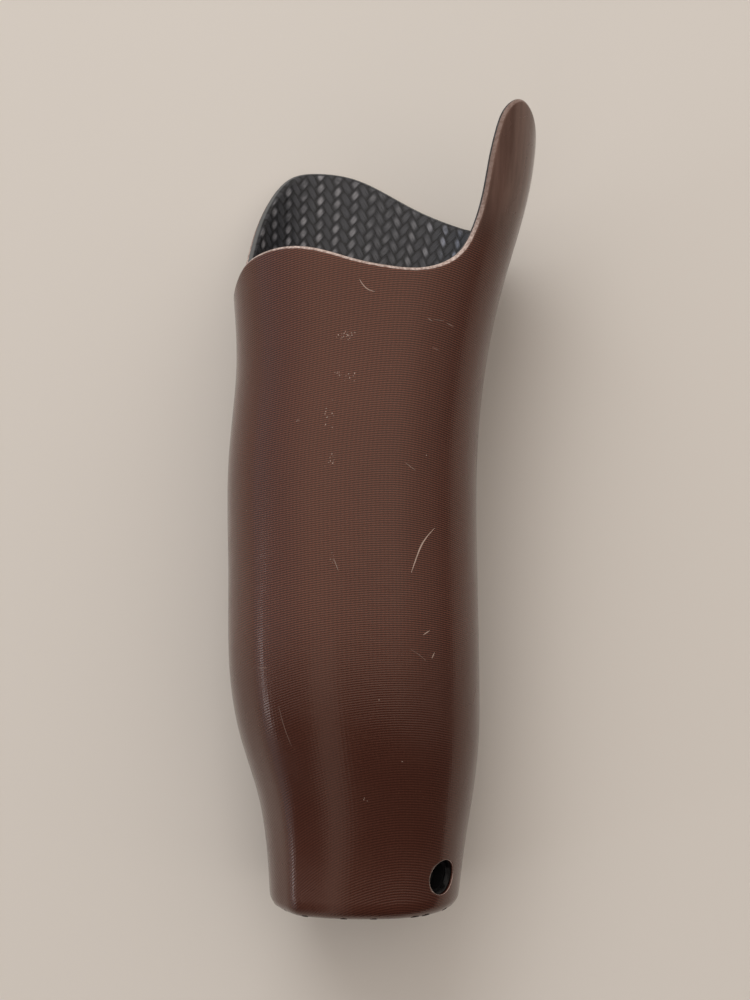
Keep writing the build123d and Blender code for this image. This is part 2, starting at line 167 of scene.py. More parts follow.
LEAST_POWER, POWER_STEP = 2.0, 0.01
POWER_ROWS = LEAST_POWER + POWER_STEP * np.arange(0, 61)
even_turns = 2 * np.pi * np.arange(SECTION_POINTS) / SECTION_POINTS
under = (1 - np.cos(even_turns)) / 2
powers = 2 / (POWER_ROWS[:, None] * (1 - under) + UNDERSIDE_POWER * under)
SIDEWAYS = round_loops(np.sign(np.sin(even_turns)) * np.abs(np.sin(even_turns))**powers)
UPRIGHT = round_loops(np.sign(np.cos(even_turns)) * np.abs(np.cos(even_turns))**powers)
POWER_SLOPES = smooth_through(FOREARM[:, 0], TOP_POWERS[:, None])
print("sections at", len(FOREARM), "stations, reach at the wrist", FOREARM[0, 1:] / MM, "mm")

# %% [markdown]
# A soft ridge runs up the shell where the plaster model kept the line of the ulna. It is
# only a millimetre high, but it catches the light, so it is part of the form here and not
# a bump in the material.

# %% The surface rule
CREST_TURN = math.radians(-43)
CREST_DRIFT = math.radians(5)
CREST_WIDTH = math.radians(9)
CREST_HEIGHT = 0.9 * MM
CREST_PIVOT, CREST_FADE = 70 * MM, 165 * MM
SLOPE_STEP = 1e-4


def crest(turn, along):
    """How far the ridge stands proud; it drifts a little round the arm as it climbs."""
    middle = CREST_TURN + CREST_DRIFT * (1 - along / CREST_PIVOT) / 2
    off = (turn - middle + np.pi) % (2 * np.pi) - np.pi
    fade = np.clip(1 - (along / CREST_FADE)**2, 0, 1)
    return CREST_HEIGHT * fade * np.exp(-(off / CREST_WIDTH)**2)


def form(turn, along, inset=0.0):
    """Points of the outside at turns and places along, moved inwards by an inset."""
    left, right, up, down = reaches(along)
    held = np.clip(along, 0, FOREARM[-1, 0])
    power = cubic(FOREARM[:, 0], TOP_POWERS[:, None], POWER_SLOPES, held)[..., 0]
    row = (power - POWER_ROWS[0]) / (POWER_ROWS[1] - POWER_ROWS[0])
    proud = crest(turn, along) - inset
    x = (right - left) / 2 + ((right + left) / 2 + proud) * on_loops(SIDEWAYS, row, turn)
    z = (up - down) / 2 + ((up + down) / 2 + proud) * on_loops(UPRIGHT, row, turn)
    return np.stack([x, along + 0 * x, z], -1)


def unit(vectors):
    """The same directions at length one."""
    return vectors / np.linalg.norm(vectors, axis=-1, keepdims=True)


def slopes_of(turn, along):
    """How a point of the form moves per radian of turn and per metre along."""
    step = SLOPE_STEP
    around = (form(turn + step, along) - form(turn - step, along)) / (2 * step)
    length = (form(turn, along + step) - form(turn, along - step)) / (2 * step)
    return around, length


def outward(turn, along):
    """Directions square to the form."""
    return unit(np.cross(*slopes_of(turn, along)))


# %% [markdown]
# ## The brim
# The trim line is cut by hand round the elbow: low in front, a tall wing on one side and a
# lower wing at the back. It is one closed curve of height against the angle round the arm,
# and the grid's columns lean towards it so that the wing's steep edge gets its share of them.

# %% Brim curve
BRIM_AXIS_X, BRIM_AXIS_Z = 2 * MM, 8 * MM
# (angle from straight up, along)
BRIM = np.array([
    (-92, 231.6), (-79, 233.0), (-66, 240.0), (-53, 244.0), (-38, 245.3), (-23, 243.5),
    (-7, 240.0), (9, 237.7), (24, 237.0), (36, 239.0), (45, 243.8), (50.5, 252.5),
    (53.5, 264.0), (55.3, 277.5), (58, 289.0), (63, 298.3), (69, 301.3), (76, 298.7),
    (85, 290.0), (97, 276.0), (110, 265.5), (124, 260.6), (138, 263.8), (155, 270.5),
    (173, 278.4), (191, 284.0), (207, 285.3), (220, 283.3), (232, 273.0), (243, 255.5),
    (254, 239.0),
])
BRIM_REACH = 50 * MM
BRIM_SAMPLES = 6000
TURN_STEPS = 12
EDGE_SHARE = 0.6
wrapped = np.concatenate([BRIM - (360, 0), BRIM, BRIM + (360, 0), BRIM[:1] + (720, 0)])
bearing, height = np.radians(wrapped[:, 0]), wrapped[:, 1] * MM
corner = np.stack([BRIM_REACH * np.sin(bearing), BRIM_REACH * np.cos(bearing), height], -1)
run = np.concatenate([[0], np.cumsum(np.linalg.norm(np.diff(corner, axis=0), axis=-1))])
fine_run = np.linspace(0, run[-1], BRIM_SAMPLES)
fine_edge = cubic(run, corner, smooth_through(run, corner), fine_run)
BRIM_ANGLES = np.unwrap(np.arctan2(fine_edge[:, 0], fine_edge[:, 1]))
BRIM_ANGLES += bearing[0] - BRIM_ANGLES[0]
BRIM_HEIGHTS = fine_edge[:, 2]


def edge_places():
    """Turns and places along of the trim line, found by turning until the bearing is right."""
    once = (BRIM_ANGLES >= 0) & (BRIM_ANGLES < 2 * np.pi)
    bearing, along = BRIM_ANGLES[once], BRIM_HEIGHTS[once]
    turn = bearing.copy()
    for _ in range(TURN_STEPS):
        off, around = form(turn, along), slopes_of(turn, along)[0]
        x, z = off[:, 0] - BRIM_AXIS_X, off[:, 2] - BRIM_AXIS_Z
        miss = (np.arctan2(x, z) - bearing + np.pi) % (2 * np.pi) - np.pi
        turn = turn - miss * (x**2 + z**2) / (around[:, 0] * z - around[:, 2] * x)
    return np.append(turn, turn[0] + 2 * np.pi), np.append(along, along[0])


EDGE_TURNS, EDGE_ALONG = edge_places()
EDGE_RUN = np.linalg.norm(np.diff(form(EDGE_TURNS, EDGE_ALONG), axis=0), axis=-1)
EDGE_RUN = np.concatenate([[0], np.cumsum(EDGE_RUN)])


def brim_places(count):
    """Columns' places on the trim line: part even turns, part even steps along the edge."""
    by_turn, by_run = (EDGE_TURNS - EDGE_TURNS[0]) / (2 * np.pi), EDGE_RUN / EDGE_RUN[-1]
    mix = (1 - EDGE_SHARE) * by_turn + EDGE_SHARE * by_run
    at = np.arange(count) / count
    return np.interp(at, mix, EDGE_TURNS), np.interp(at, mix, EDGE_ALONG)


print(f"brim between {EDGE_ALONG.min() / MM:.1f} and {EDGE_ALONG.max() / MM:.1f} mm along")

# %% [markdown]
# ## Rings of points
# Both layers are built the same way, as rings that run from the wrist opening over the
# rounded end, up the arm, over the brim and back down inside. Joined ring to ring, and the
# last to the first, they close with no stray edge.

# %% Sizes of the laminate
SKIN, BOND, CARBON = 1.4 * MM, 0.05 * MM, 2.0 * MM
WALL = SKIN + BOND + CARBON
EDGE_RADIUS = WALL / 2
WRIST_CORNER = 5 * MM
WRIST_OPENING = 25.05 * MM
HATCH_TURN = math.radians(48.5)
HATCH_RADIUS = 6.5 * MM
HATCH_ALONG = 14.5 * MM
HATCH_ROOM, HATCH_SIDE = 7.8 * MM, 8.8 * MM
EDGE_STEPS, PATCH_STEPS = 8, 6
FLAT_SHARES, CORNER_BENDS = (0, 0.35, 0.7), np.radians(np.arange(90, 0, -10))
SANDED_FROM, SANDED_TO = 0.55, 2.8
SAME = 0.01 * MM
GRID_START = 24 * MM
LEAN = 2.5


def end_rings(turns):
    """Rings of the flat end and of its rounded corner, from the opening outwards."""
    flat = form(turns, np.zeros_like(turns), WRIST_CORNER)
    circle = WRIST_OPENING * np.stack([np.sin(turns), 0 * turns, np.cos(turns)], -1)
    rings = [circle + (flat - circle) * share for share in FLAT_SHARES]
    for bend in CORNER_BENDS:
        along = WRIST_CORNER * (1 - math.sin(bend))
        rings.append(form(turns, np.full_like(turns, along), WRIST_CORNER * (1 - math.cos(bend))))
    return rings


def brim_frame(turns, along):
    """Trim line's points with the directions out of the wall and up out of the edge."""
    edge = form(turns, along)
    around, length = slopes_of(turns, along)
    out = unit(np.cross(around, length))
    ahead = unit(np.roll(edge, -1, 0) - np.roll(edge, 1, 0))
    rise = unit(np.cross(out, ahead))
    return edge, around, length, out, rise


def below_edge(turns, along, drop):
    """The places on the form that lie a drop below the trim line, square to it."""
    _, around, length, _, rise = brim_frame(turns, along)
    pairs = (around, around), (around, length), (length, length)
    aa, al, ll = (np.sum(p * q, -1) for p, q in pairs)
    ra, rl = -drop * np.sum(rise * around, -1), -drop * np.sum(rise * length, -1)
    scale = aa * ll - al**2
    return turns + (ra * ll - rl * al) / scale, along + (rl * aa - ra * al) / scale


def wall_rings(low_turns, rows):
    """Places of the rings between the wrist part and the brim, whose turns ease from low to high."""
    high_turns, high_along = below_edge(*brim_places(len(low_turns)), EDGE_RADIUS)
    places = []
    for share in rows:
        ease = share**LEAN
        turn = low_turns + (high_turns - low_turns) * ease
        places.append((turn, GRID_START + (high_along - GRID_START) * share))
    return places


# %% [markdown]
# The button's hole breaks the grid near the wrist. A square patch of quads is left out
# there, and rings that change step by step from the square to the circle take its place,
# so that the hole is truly round and has no long thin faces beside it.

# %% Mesh from rings, with the hatch
BUTTON_WAY = np.array([math.sin(HATCH_TURN), 0, math.cos(HATCH_TURN)])
BUTTON_SIDE = np.array([math.cos(HATCH_TURN), 0, -math.sin(HATCH_TURN)])


def hatch_turns(aside, along):
    """Turns at which the form lies that far to the side of the button's axis."""
    turn = np.full_like(aside, HATCH_TURN)
    for _ in range(TURN_STEPS):
        miss = form(turn, along) @ BUTTON_SIDE - aside
        turn = turn - miss / (slopes_of(turn, along)[0] @ BUTTON_SIDE)
    return turn


class Rings:
    """Vertices in rings, quads between them and a (turn, along) pair for each corner."""

    def __init__(self, columns):
        self.columns = columns
        self.points, self.places, self.marks = [], [], []
        self.faces, self.corners = [], []
        self.rings = []

    def extend(self, points, turn, along, mark):
        """More vertices, with their places and marks; returns the first one's number."""
        start = len(self.points)
        turn, along, mark = (np.broadcast_to(each, len(points)).tolist() for each in (turn, along, mark))
        self.points.extend(points.tolist())
        self.places.extend(zip(turn, along))
        self.marks.extend(mark)
        return start

    def add(self, *ring):
        """One ring of vertices; returns its row number."""
        self.rings.append(self.extend(*ring))
        return len(self.rings) - 1

    def quad(self, ids, wraps=(0, 0, 0, 0)):
        """One face, with the whole turns to add at each corner."""
        self.faces.append(ids)
        self.corners.append([
            (self.places[i][0] + 2 * math.pi * w, self.places[i][1]) for i, w in zip(ids, wraps)
        ])

    def join(self, low, high, skip):
        """Quads between two rings, but for the columns to skip, if any."""
        a, b = self.rings[low], self.rings[high]
        for j in range(self.columns):
            if skip and skip[0] <= j < skip[1]:
                continue
            k = (j + 1) % self.columns
            w = int(k == 0)
            self.quad((a + j, a + k, b + k, b + j), (0, w, w, 0))

    def loop(self, rows, skip):
        """Vertices round the skipped square, once round; the rows run up the arm."""
        a, b = skip
        starts = [self.rings[row] for row in rows]
        under = [starts[0] + j for j in range(a, b)]
        right = [start + b for start in starts[:-1]]
        over = [starts[-1] + j for j in range(b, a, -1)]
        left = [start + a for start in starts[:0:-1]]
        return under + right + over + left

    def band(self, outer, inner, inside=False):
        """Quads between two closed loops of the same length."""
        if inside:
            outer, inner = inner, outer
        for i in range(len(outer)):
            k = (i + 1) % len(outer)
            self.quad((outer[i], outer[k], inner[k], inner[i]))

    def object(self, name, uv_of):
        """The finished mesh, with its pattern's UV map and its sanded-edge attribute, which is negative on
        the button hole's walls that the finishes paint dark as shade.
        """
        mesh = bpy.data.meshes.new(name)
        mesh.from_pydata(self.points, [], self.faces)
        mesh.update()
        corners = np.array(self.corners).reshape(-1, 2)
        uv = np.stack(uv_of(corners[:, 0], corners[:, 1]), -1)
        mesh.uv_layers.new(name="pattern").data.foreach_set("uv", uv.astype(np.float32).ravel())
        keep_at_points(mesh, "sanded", self.marks)
        mesh.shade_smooth()
        print(name, len(self.faces), "quads")
        return show(name, mesh)


def hatch_patch(grid, loop, depth, inside):
    """Rings from a square loop to the hatch's round edge; returns that edge's loop."""
    square = np.array([grid.places[i] for i in loop])
    aside = form(square[:, 0], square[:, 1]) @ BUTTON_SIDE
    way = np.arctan2(aside, square[:, 1] - HATCH_ALONG)
    rim_along = HATCH_ALONG + HATCH_RADIUS * np.cos(way)
    rim_turn = hatch_turns(HATCH_RADIUS * np.sin(way), rim_along)
    outer, mark = loop, 0.0
    for step in range(1, PATCH_STEPS + 1):
        share = step / PATCH_STEPS
        turn = square[:, 0] + (rim_turn - square[:, 0]) * share
        along = square[:, 1] + (rim_along - square[:, 1]) * share
        points = form(turn, along) - depth * outward(turn, along)
        if step == PATCH_STEPS:
            off = points @ BUTTON_SIDE - HATCH_RADIUS * np.sin(way)
            points = points - off[:, None] * BUTTON_SIDE
            points[:, 1] = rim_along
            # The rim on the outside is sanded; the deeper rims get -1, which the finishes paint near black as
            # the shade inside the hole.
            mark = 1.0 if depth == 0 else -1.0
        start = grid.extend(points, turn, along, mark)
        inner = list(range(start, start + len(loop)))
        grid.band(outer, inner, inside)
        outer = inner
    return outer


def turned_normals(rows):
    """Outward directions on a stack of rings."""
    rows = np.array(rows)
    around = np.roll(rows, -1, 1) - np.roll(rows, 1, 1)
    length = np.gradient(rows, axis=0)
    return unit(np.cross(around, length))


def sanded(bend):
    """How far the edge is sanded at a bend, from the outside over the brim to the inside."""
    return min(1, bend / SANDED_FROM, max(0, 2 * (SANDED_TO - bend)))


def layer(columns, outer_depth, inner_depth, outer_rows, inner_rows, relief=None):
    """One layer of the laminate between two depths below the form."""
    grid = Rings(columns)
    turns = 2 * np.pi * np.arange(columns) / columns
    hatch = hatch_turns(np.zeros(1), np.array([HATCH_ALONG]))
    cell = np.linalg.norm(slopes_of(hatch, np.array([HATCH_ALONG]))[0]) * turns[1]
    middle, half = round(hatch[0] / turns[1]), round(HATCH_SIDE / cell)
    skip = (middle - half, middle + half)
    patch_rows = np.linspace(HATCH_ALONG - HATCH_ROOM, HATCH_ALONG + HATCH_ROOM, 2 * half + 1)
    ends = end_rings(turns)
    steps = np.linalg.norm(np.diff(ends + [form(turns, np.full(columns, WRIST_CORNER))], axis=0), axis=-1)
    ends_along = WRIST_CORNER - np.cumsum(steps[::-1], axis=0)[::-1]
    low = [form(turns, np.full(columns, y)) for y in patch_rows]
    first, last = len(ends), len(ends) + len(patch_rows) - 1

    def face(rows, depth, carve=None):
        """Rings of one face from the wrist opening to the brim, with their places."""
        high = wall_rings(turns, rows)
        stack = ends + low + [form(*place) for place in high]
        places = [(turns, along) for along in ends_along] + [(turns, ring[:, 1]) for ring in low] + high
        normals = turned_normals(stack)
        normals[-len(high):] = [outward(*place) for place in high]
        points = np.array(stack) - depth * normals
        if carve:
            points = points + carve(np.array(places))[..., None] * normals
        ground = [1.0] + [0.0] * (len(stack) - 1)
        return [(ring, *place, mark) for ring, place, mark in zip(points, places, ground)]

    outer = [grid.add(*ring) for ring in face(outer_rows, outer_depth)]
    brim = brim_places(columns)
    rim_turns, rim_along = below_edge(*brim, EDGE_RADIUS)
    edge, _, _, out, rise = brim_frame(*brim)
    bends = np.arccos(1 - np.array([outer_depth, inner_depth]) / EDGE_RADIUS)
    arc = []
    for bend in np.linspace(*bends, EDGE_STEPS):
        height, depth = EDGE_RADIUS * math.sin(bend), EDGE_RADIUS * (1 - math.cos(bend))
        if height < SAME:
            continue
        points = edge + (height - EDGE_RADIUS) * rise - depth * out
        arc.append(grid.add(points, rim_turns, rim_along + height, sanded(bend)))
    down = [grid.add(*ring) for ring in face(inner_rows, inner_depth, relief)[::-1]]
    inner = down[::-1]

    order = outer + arc + down
    for start, end in zip(order, order[1:] + order[:1]):
        beside_hatch = outer[first] <= start < outer[last] or inner[last] <= start < inner[first]
        grid.join(start, end, skip if beside_hatch else None)
    outer_edge = hatch_patch(grid, grid.loop(outer[first:last + 1], skip), outer_depth, False)
    inner_edge = hatch_patch(grid, grid.loop(inner[first:last + 1], skip), inner_depth, True)
    grid.band(outer_edge, inner_edge)
    return grid


print("hatch at", round(math.degrees(HATCH_TURN)), "degrees,", HATCH_ALONG / MM, "mm along")

# %% [markdown]
# ## Outer layer: knitted stockinette
# A knitted nylon tube was pulled over the model and soaked with brown resin. Its courses
# still show through as fine rows round the arm, bent where the tube was stretched. The rows
# live in the UV map, which counts wales round the arm and courses along it, so the pattern
# closes on itself and follows the surface.

# %% Outer shell
WALES = 210
COURSE_PLACES = np.array([0, 30, 65, 100, 230, 320]) * MM
COURSE_PITCH = np.array([1.0, 1.0, 0.9, 0.79, 0.81, 0.81]) * MM
LEVEL_TURN = math.radians(15.5)
BENDS = np.array([
    # mm along, dip to the left, dip to the right, how softly the dip starts
    (0, 32.0, 16, 0.35),
    (12, 31.0, 16, 0.40),
    (30, 28.0, 16, 0.50),
    (50, 24.5, 16, 0.55),
    (70, 23.0, 17, 0.60),
    (90, 21.0, 18, 0.80),
    (111, 17.0, 22, 0.90),
    (132, 12.5, 22, 0.70),
    (150, 9.0, 14, 0.30),
    (182, 11.0, 14, 0.28),
    (205, 13.0, 14, 0.30),
])
fine_along = np.linspace(-0.02, 0.34, 721)
fine_pitch = np.interp(fine_along, COURSE_PLACES, COURSE_PITCH)
COURSE_COUNT = np.cumsum(np.gradient(fine_along) / fine_pitch)


def knit_places(turn, along):
    """Wale and course numbers at a place; courses dip away from the level line."""
    off = np.remainder(turn - LEVEL_TURN + np.pi, 2 * np.pi) - np.pi
    left, right, soft = (np.interp(along, BENDS[:, 0] * MM, column) for column in BENDS.T[1:])
    bend = np.where(off < 0, left, right + (left - right) * np.sin(off / 2)**4)
    dip = bend * MM * (np.sqrt(soft**2 + 4 * np.sin(off / 2)**2) - soft)
    return WALES * turn / (2 * np.pi), np.interp(along + dip, fine_along, COURSE_COUNT)


SHELL_COLUMNS, OUTSIDE_ROWS, INSIDE_ROWS = 288, 110, 12
outside_rows, inside_rows = np.linspace(0, 1, OUTSIDE_ROWS), np.linspace(0, 1, INSIDE_ROWS)
shell_grid = layer(SHELL_COLUMNS, 0.0, SKIN, outside_rows, inside_rows)
shell = shell_grid.object("knitted_shell", knit_places)

# %% [markdown]
# ## Inner layer: braided carbon
# The strength comes from a braided carbon sleeve. Its flat tows cross in a two-over,
# two-under twill, and at the brim they can be seen and felt, so near the brim the crossings
# are real relief in the mesh. Deeper inside, the material's bump carries on the same rule.

# %% Braid rule and carbon frame
TOWS = 92
TOW_TWIST = -12
TOW_ALONG = 4.93 * MM
TOW_RELIEF = 0.26 * MM
RELIEF_FROM, RELIEF_FULL = 0.60, 0.70
BRAID_GAUGE = 240 * MM
fine_turns = np.linspace(0, 2 * np.pi, 1441)
gauge = form(fine_turns, np.full_like(fine_turns, BRAID_GAUGE), WALL)
GAUGE_RUN = np.concatenate([[0], np.cumsum(np.linalg.norm(np.diff(gauge, axis=0), axis=-1))])
print(f"tows {GAUGE_RUN[-1] / TOWS / MM:.2f} mm apart round a girth of {GAUGE_RUN[-1] / MM:.0f} mm")


def braid_places(turn, along):
    """Tow numbers round the arm, in even steps of its girth, and along it with a slow twist."""
    rounds = np.floor(turn / (2 * np.pi))
    share = np.interp(turn - 2 * np.pi * rounds, fine_turns, GAUGE_RUN) / GAUGE_RUN[-1] + rounds
    return TOWS * share, along / TOW_ALONG + TOW_TWIST * share


def braid_relief(places):
    """Height of the tow on top at each place, for a two-over, two-under braid."""
    around, length = braid_places(places[:, 0], places[:, 1])
    one, two = around + length, around - length
    step = (np.floor(one) + np.floor(two)) % 4
    first_up = step < 2
    across = np.where(first_up, one % 1, two % 1) - 0.5
    float_place = np.where(first_up, step + two % 1, step - 2 + one % 1) / 2
    crown = np.clip(1 - np.abs(2 * across)**3, 0, 1)**0.5
    arch = np.clip(np.sin(np.pi * float_place), 0, 1)**0.5
    deep = places[:, 1] - GRID_START
    fade = np.interp(deep / deep.max(), (RELIEF_FROM, RELIEF_FULL), (0, 1))
    return -TOW_RELIEF * (1 - crown * arch) * fade


LINING_COLUMNS, HIDDEN_ROWS, SMOOTH_ROWS, RELIEF_ROWS = 448, 8, 14, 82
fine_rows = np.concatenate([np.linspace(0, RELIEF_FROM, SMOOTH_ROWS, endpoint=False),
                            np.linspace(RELIEF_FROM, 1, RELIEF_ROWS)])
hidden_rows = np.linspace(0, 1, HIDDEN_ROWS)
carbon_grid = layer(LINING_COLUMNS, SKIN + BOND, WALL, hidden_rows, fine_rows, braid_relief)
lining = carbon_grid.object("braided_frame", braid_places)

# %% [markdown]
# ## Finishes
# Every finish is a small node tree. A helper adds nodes and joins them in one call, so that
# a material reads like a sentence: what coordinates it takes, what pattern it makes of them,
# and what it does with the pattern.

# %% Node helpers


def srgb(red, green, blue):
    """Linear colour from the values that a screen shows."""
    def linear(c):
        c = c / 255
        return c / 12.92 if c <= 0.04045 else ((c + 0.055) / 1.055)**2.4
    return (linear(red), linear(green), linear(blue), 1.0)


class Nodes:
    """A node tree under construction, with short calls for its nodes."""

    def __init__(self, tree, prefix="ShaderNode"):
        self.tree, self.prefix = tree, prefix

    def node(self, kind, inputs=(), **settings):
        """A node with its settings and its inputs, which are values or other nodes' outputs."""
        made = self.tree.nodes.new(self.prefix + kind)
        for key, value in settings.items():
            setattr(made, key, value)
        for key, value in dict(inputs).items():
            self.put(made.inputs[key], value)
        return made

    def put(self, socket, value):
        """A value or a link for an input."""
        if isinstance(value, bpy.types.NodeSocket):
            self.tree.links.new(value, socket)
        else:
            socket.default_value = value

    def math(self, operation, *values):
        """One step of arithmetic on values or outputs."""
        return self.node("Math", enumerate(values), operation=operation).outputs[0]

    def times(self, *values):
        """Several values multiplied."""
        total = values[0]
        for value in values[1:]:
            total = self.math("MULTIPLY", total, value)
        return total

    def mix(self, share, low, high):
        """A blend of two colours."""
        made = self.node("Mix", data_type="RGBA")
        for index, value in ((0, share), (6, low), (7, high)):
            self.put(made.inputs[index], value)
        return made.outputs[2]

    def ramp(self, value, low, high, to=(0.0, 1.0)):
        """A value mapped smoothly from one range to another."""
        made = self.node("MapRange", interpolation_type="SMOOTHSTEP")
        for index, number in enumerate((value, low, high, *to)):
            self.put(made.inputs[index], number)
        return made.outputs[0]

    def place(self):
        """The object's own coordinates."""
        return self.node("TexCoord").outputs["Object"]

    def parts(self, vector):
        """The three parts of a vector."""
        return self.node("SeparateXYZ", {"Vector": vector}).outputs

    def attribute(self, label):
        """A number that the mesh keeps at its points."""
        return self.node("Attribute", attribute_name=label).outputs["Fac"]

    def noise(self, scale, detail, stretch=None, seed=0.0):
        """Noise on the object's own coordinates, or on stretched ones."""
        place = self.place()
        if stretch:
            place = self.node("Mapping", {"Vector": place, "Scale": stretch}).outputs[0]
        made = self.node("TexNoise", {"Vector": place, "W": seed, "Scale": scale,
                                      "Detail": detail}, noise_dimensions="4D")
        return made.outputs["Fac"]

    def length(self, vector):
        """A vector's length."""
        return self.node("VectorMath", {0: vector}, operation="LENGTH").outputs["Value"]

    def rings(self, fineness):
        """Noise of the distance from the wrist's axis alone."""
        flat = self.node("VectorMath", {0: self.place(), 1: (1.0, 0.0, 1.0)}, operation="MULTIPLY")
        off_axis = self.times(self.length(flat.outputs[0]), fineness)
        made = self.node("TexNoise", {"W": off_axis, "Scale": 1.0, "Detail": 2.0}, noise_dimensions="1D")
        return made.outputs["Fac"]

    def pattern(self):
        """The two coordinates of the piece's own UV map."""
        return self.parts(self.node("UVMap", uv_map="pattern").outputs[0])[:2]

    def bump(self, height, distance, normal=None):
        """The surface's direction with a relief, on top of another relief if one is given."""
        made = self.node("Bump", {"Height": height, "Distance": distance, "Strength": 1.0})
        if normal:
            self.put(made.inputs["Normal"], normal)
        return made.outputs[0]


class Finish(Nodes):
    """A material, whose nodes end in its shader's sockets."""

    def __init__(self, name, **settings):
        self.material = bpy.data.materials.new(name)
        self.material.use_nodes = True
        super().__init__(self.material.node_tree)
        self.shader = self.tree.nodes["Principled BSDF"]
        self.set(**settings)

    def set(self, **sockets):
        """Values or outputs for the shader's sockets; returns the material."""
        for socket, value in sockets.items():
            self.put(self.shader.inputs[socket.replace("_", " ")], value)
        return self.material


# %% [markdown]
# The shell's brown is not one colour: each course shows as a thin lighter line between
# darker ones, partly the knit's own rows and partly painted highlights on the yarns' crowns,
# and towards the wrist the lines fade into one flat brown where that painted highlight ends.
# The pigment is cloudy over a few centimetres, and the trimmed edges are sanded to a pale
# pinkish resin. A thin clear coat of resin gives the long soft reflections.

# %% Knitted laminate
WING_WORN = (0.242, 0.268)
# Heights over which the course lines, with their painted highlight, fade out towards the wrist
COURSE_HIGHLIGHT_FADE = (0.080, 0.114)
KNIT_RELIEF, RESIN_RELIEF = 0.013 * MM, 0.08 * MM


def knitted_laminate():
    """Brown resin over knitted rows whose lighter lines are partly painted highlights, rubbed on the wing,
    bare along the sanded edges, and painted dark as shade in the button's hole.
    """
    skin = Finish("brown_knitted_laminate", Coat_Weight=0.3, Coat_Roughness=0.06, IOR=1.5,
                  Specular_Tint=(1.0, 0.64, 0.48, 1.0))
    wale, course = skin.pattern()
    fine_wobble = skin.math("MULTIPLY_ADD", skin.noise(260, 2), 0.35, course)
    row, stitch = (skin.math("SINE", skin.times(count, 2 * math.pi)) for count in (fine_wobble, wale))
    # The course lines: partly the knit's own rows, partly painted highlights on the yarns' crowns.
    course_line_and_highlight = skin.ramp(skin.math("MULTIPLY_ADD", stitch, 0.25, row), -0.4, 0.8)
    height = skin.parts(skin.place())[1]
    worn = skin.ramp(height, *WING_WORN)
    unworn = skin.math("SUBTRACT", 1.0, worn)
    course_line_and_highlight = skin.times(course_line_and_highlight, unworn)
    clouds = skin.noise(22, 4)
    grain = skin.noise(900, 2)
    dark = skin.mix(clouds, srgb(30, 10, 6), srgb(40, 16, 10))
    light = skin.mix(clouds, srgb(82, 44, 34), srgb(100, 58, 46))
    brown = skin.mix(course_line_and_highlight, dark, light)
    # Painted highlight ends towards the wrist: below these heights the lines blend into one flat brown.
    brown = skin.mix(skin.ramp(height, *COURSE_HIGHLIGHT_FADE, (0.7, 0.0)), brown, srgb(57, 29, 22))
    streaks = skin.noise(300, 3, (1.0, 0.06, 1.0), 4.0)
    rubbed = skin.mix(skin.ramp(streaks, 0.3, 0.7), srgb(70, 49, 42), srgb(94, 70, 62))
    brown = skin.mix(worn, brown, rubbed)
    brown = skin.mix(skin.ramp(grain, 0.62, 0.8, (0.0, 0.12)), brown, srgb(128, 92, 76))
    sanded = skin.attribute("sanded")
    # Painted shade: the button hole's wall darkens to near black towards its inner rim.
    brown = skin.mix(skin.ramp(sanded, 0.0, -0.5), brown, srgb(12, 8, 7))
    ragged = skin.math("MULTIPLY_ADD", skin.noise(500, 3), 0.5, sanded)
    bare = skin.ramp(ragged, 0.90, 1.18)
    resin = skin.mix(skin.ramp(skin.noise(1100, 3), 0.3, 0.7), srgb(132, 114, 106), srgb(190, 173, 165))
    resin = skin.mix(skin.ramp(height, *WING_WORN, (0.0, 0.75)), resin, srgb(84, 62, 54))
    brown = skin.mix(bare, brown, resin)
    rough = skin.ramp(skin.noise(60, 5), 0.3, 0.7, (0.22, 0.30))
    rough = skin.math("MULTIPLY_ADD", bare, 0.35, rough)
    knit = skin.times(skin.math("MULTIPLY_ADD", stitch, 0.3, row), unworn)
    relief = skin.bump(knit, KNIT_RELIEF)
    relief = skin.bump(skin.noise(160, 3), RESIN_RELIEF, normal=relief)
    return skin.set(Base_Color=brown, Roughness=rough, Normal=relief, Coat_Normal=relief)


# %% [markdown]
# Carbon tows are bundles of black fibres in clear resin. The finish repeats the braid rule
# from the mesh in nodes, so colour, bump and relief agree: the tow on top is a little
# lighter along its crown and the gaps between tows are darker, partly the dark resin there
# and partly painted sheen and shade, and fine streaks run with the fibres. Glints are
# painted into the colour too: bright cores on the crowns of one tow direction on the left
# and of the other on the right, cooler in tint to the right.

# %% Braided carbon
FIBRE_ANGLE = math.degrees(math.atan2(GAUGE_RUN[-1] / TOWS, TOW_ALONG)) / 360
FIBRE_TURNS = (1 - FIBRE_ANGLE, FIBRE_ANGLE)
GLINT_SIDES = (-15 * MM, 35 * MM)
COOL_GLINT_SIDE = (22 * MM, 40 * MM)
STREAKS_ACROSS, STREAKS_ALONG = 26.0, 0.7
DEEP_TOW = 4.6 * MM
FIBRE_RELIEF, CROWN_RELIEF = 0.02 * MM, 0.10 * MM


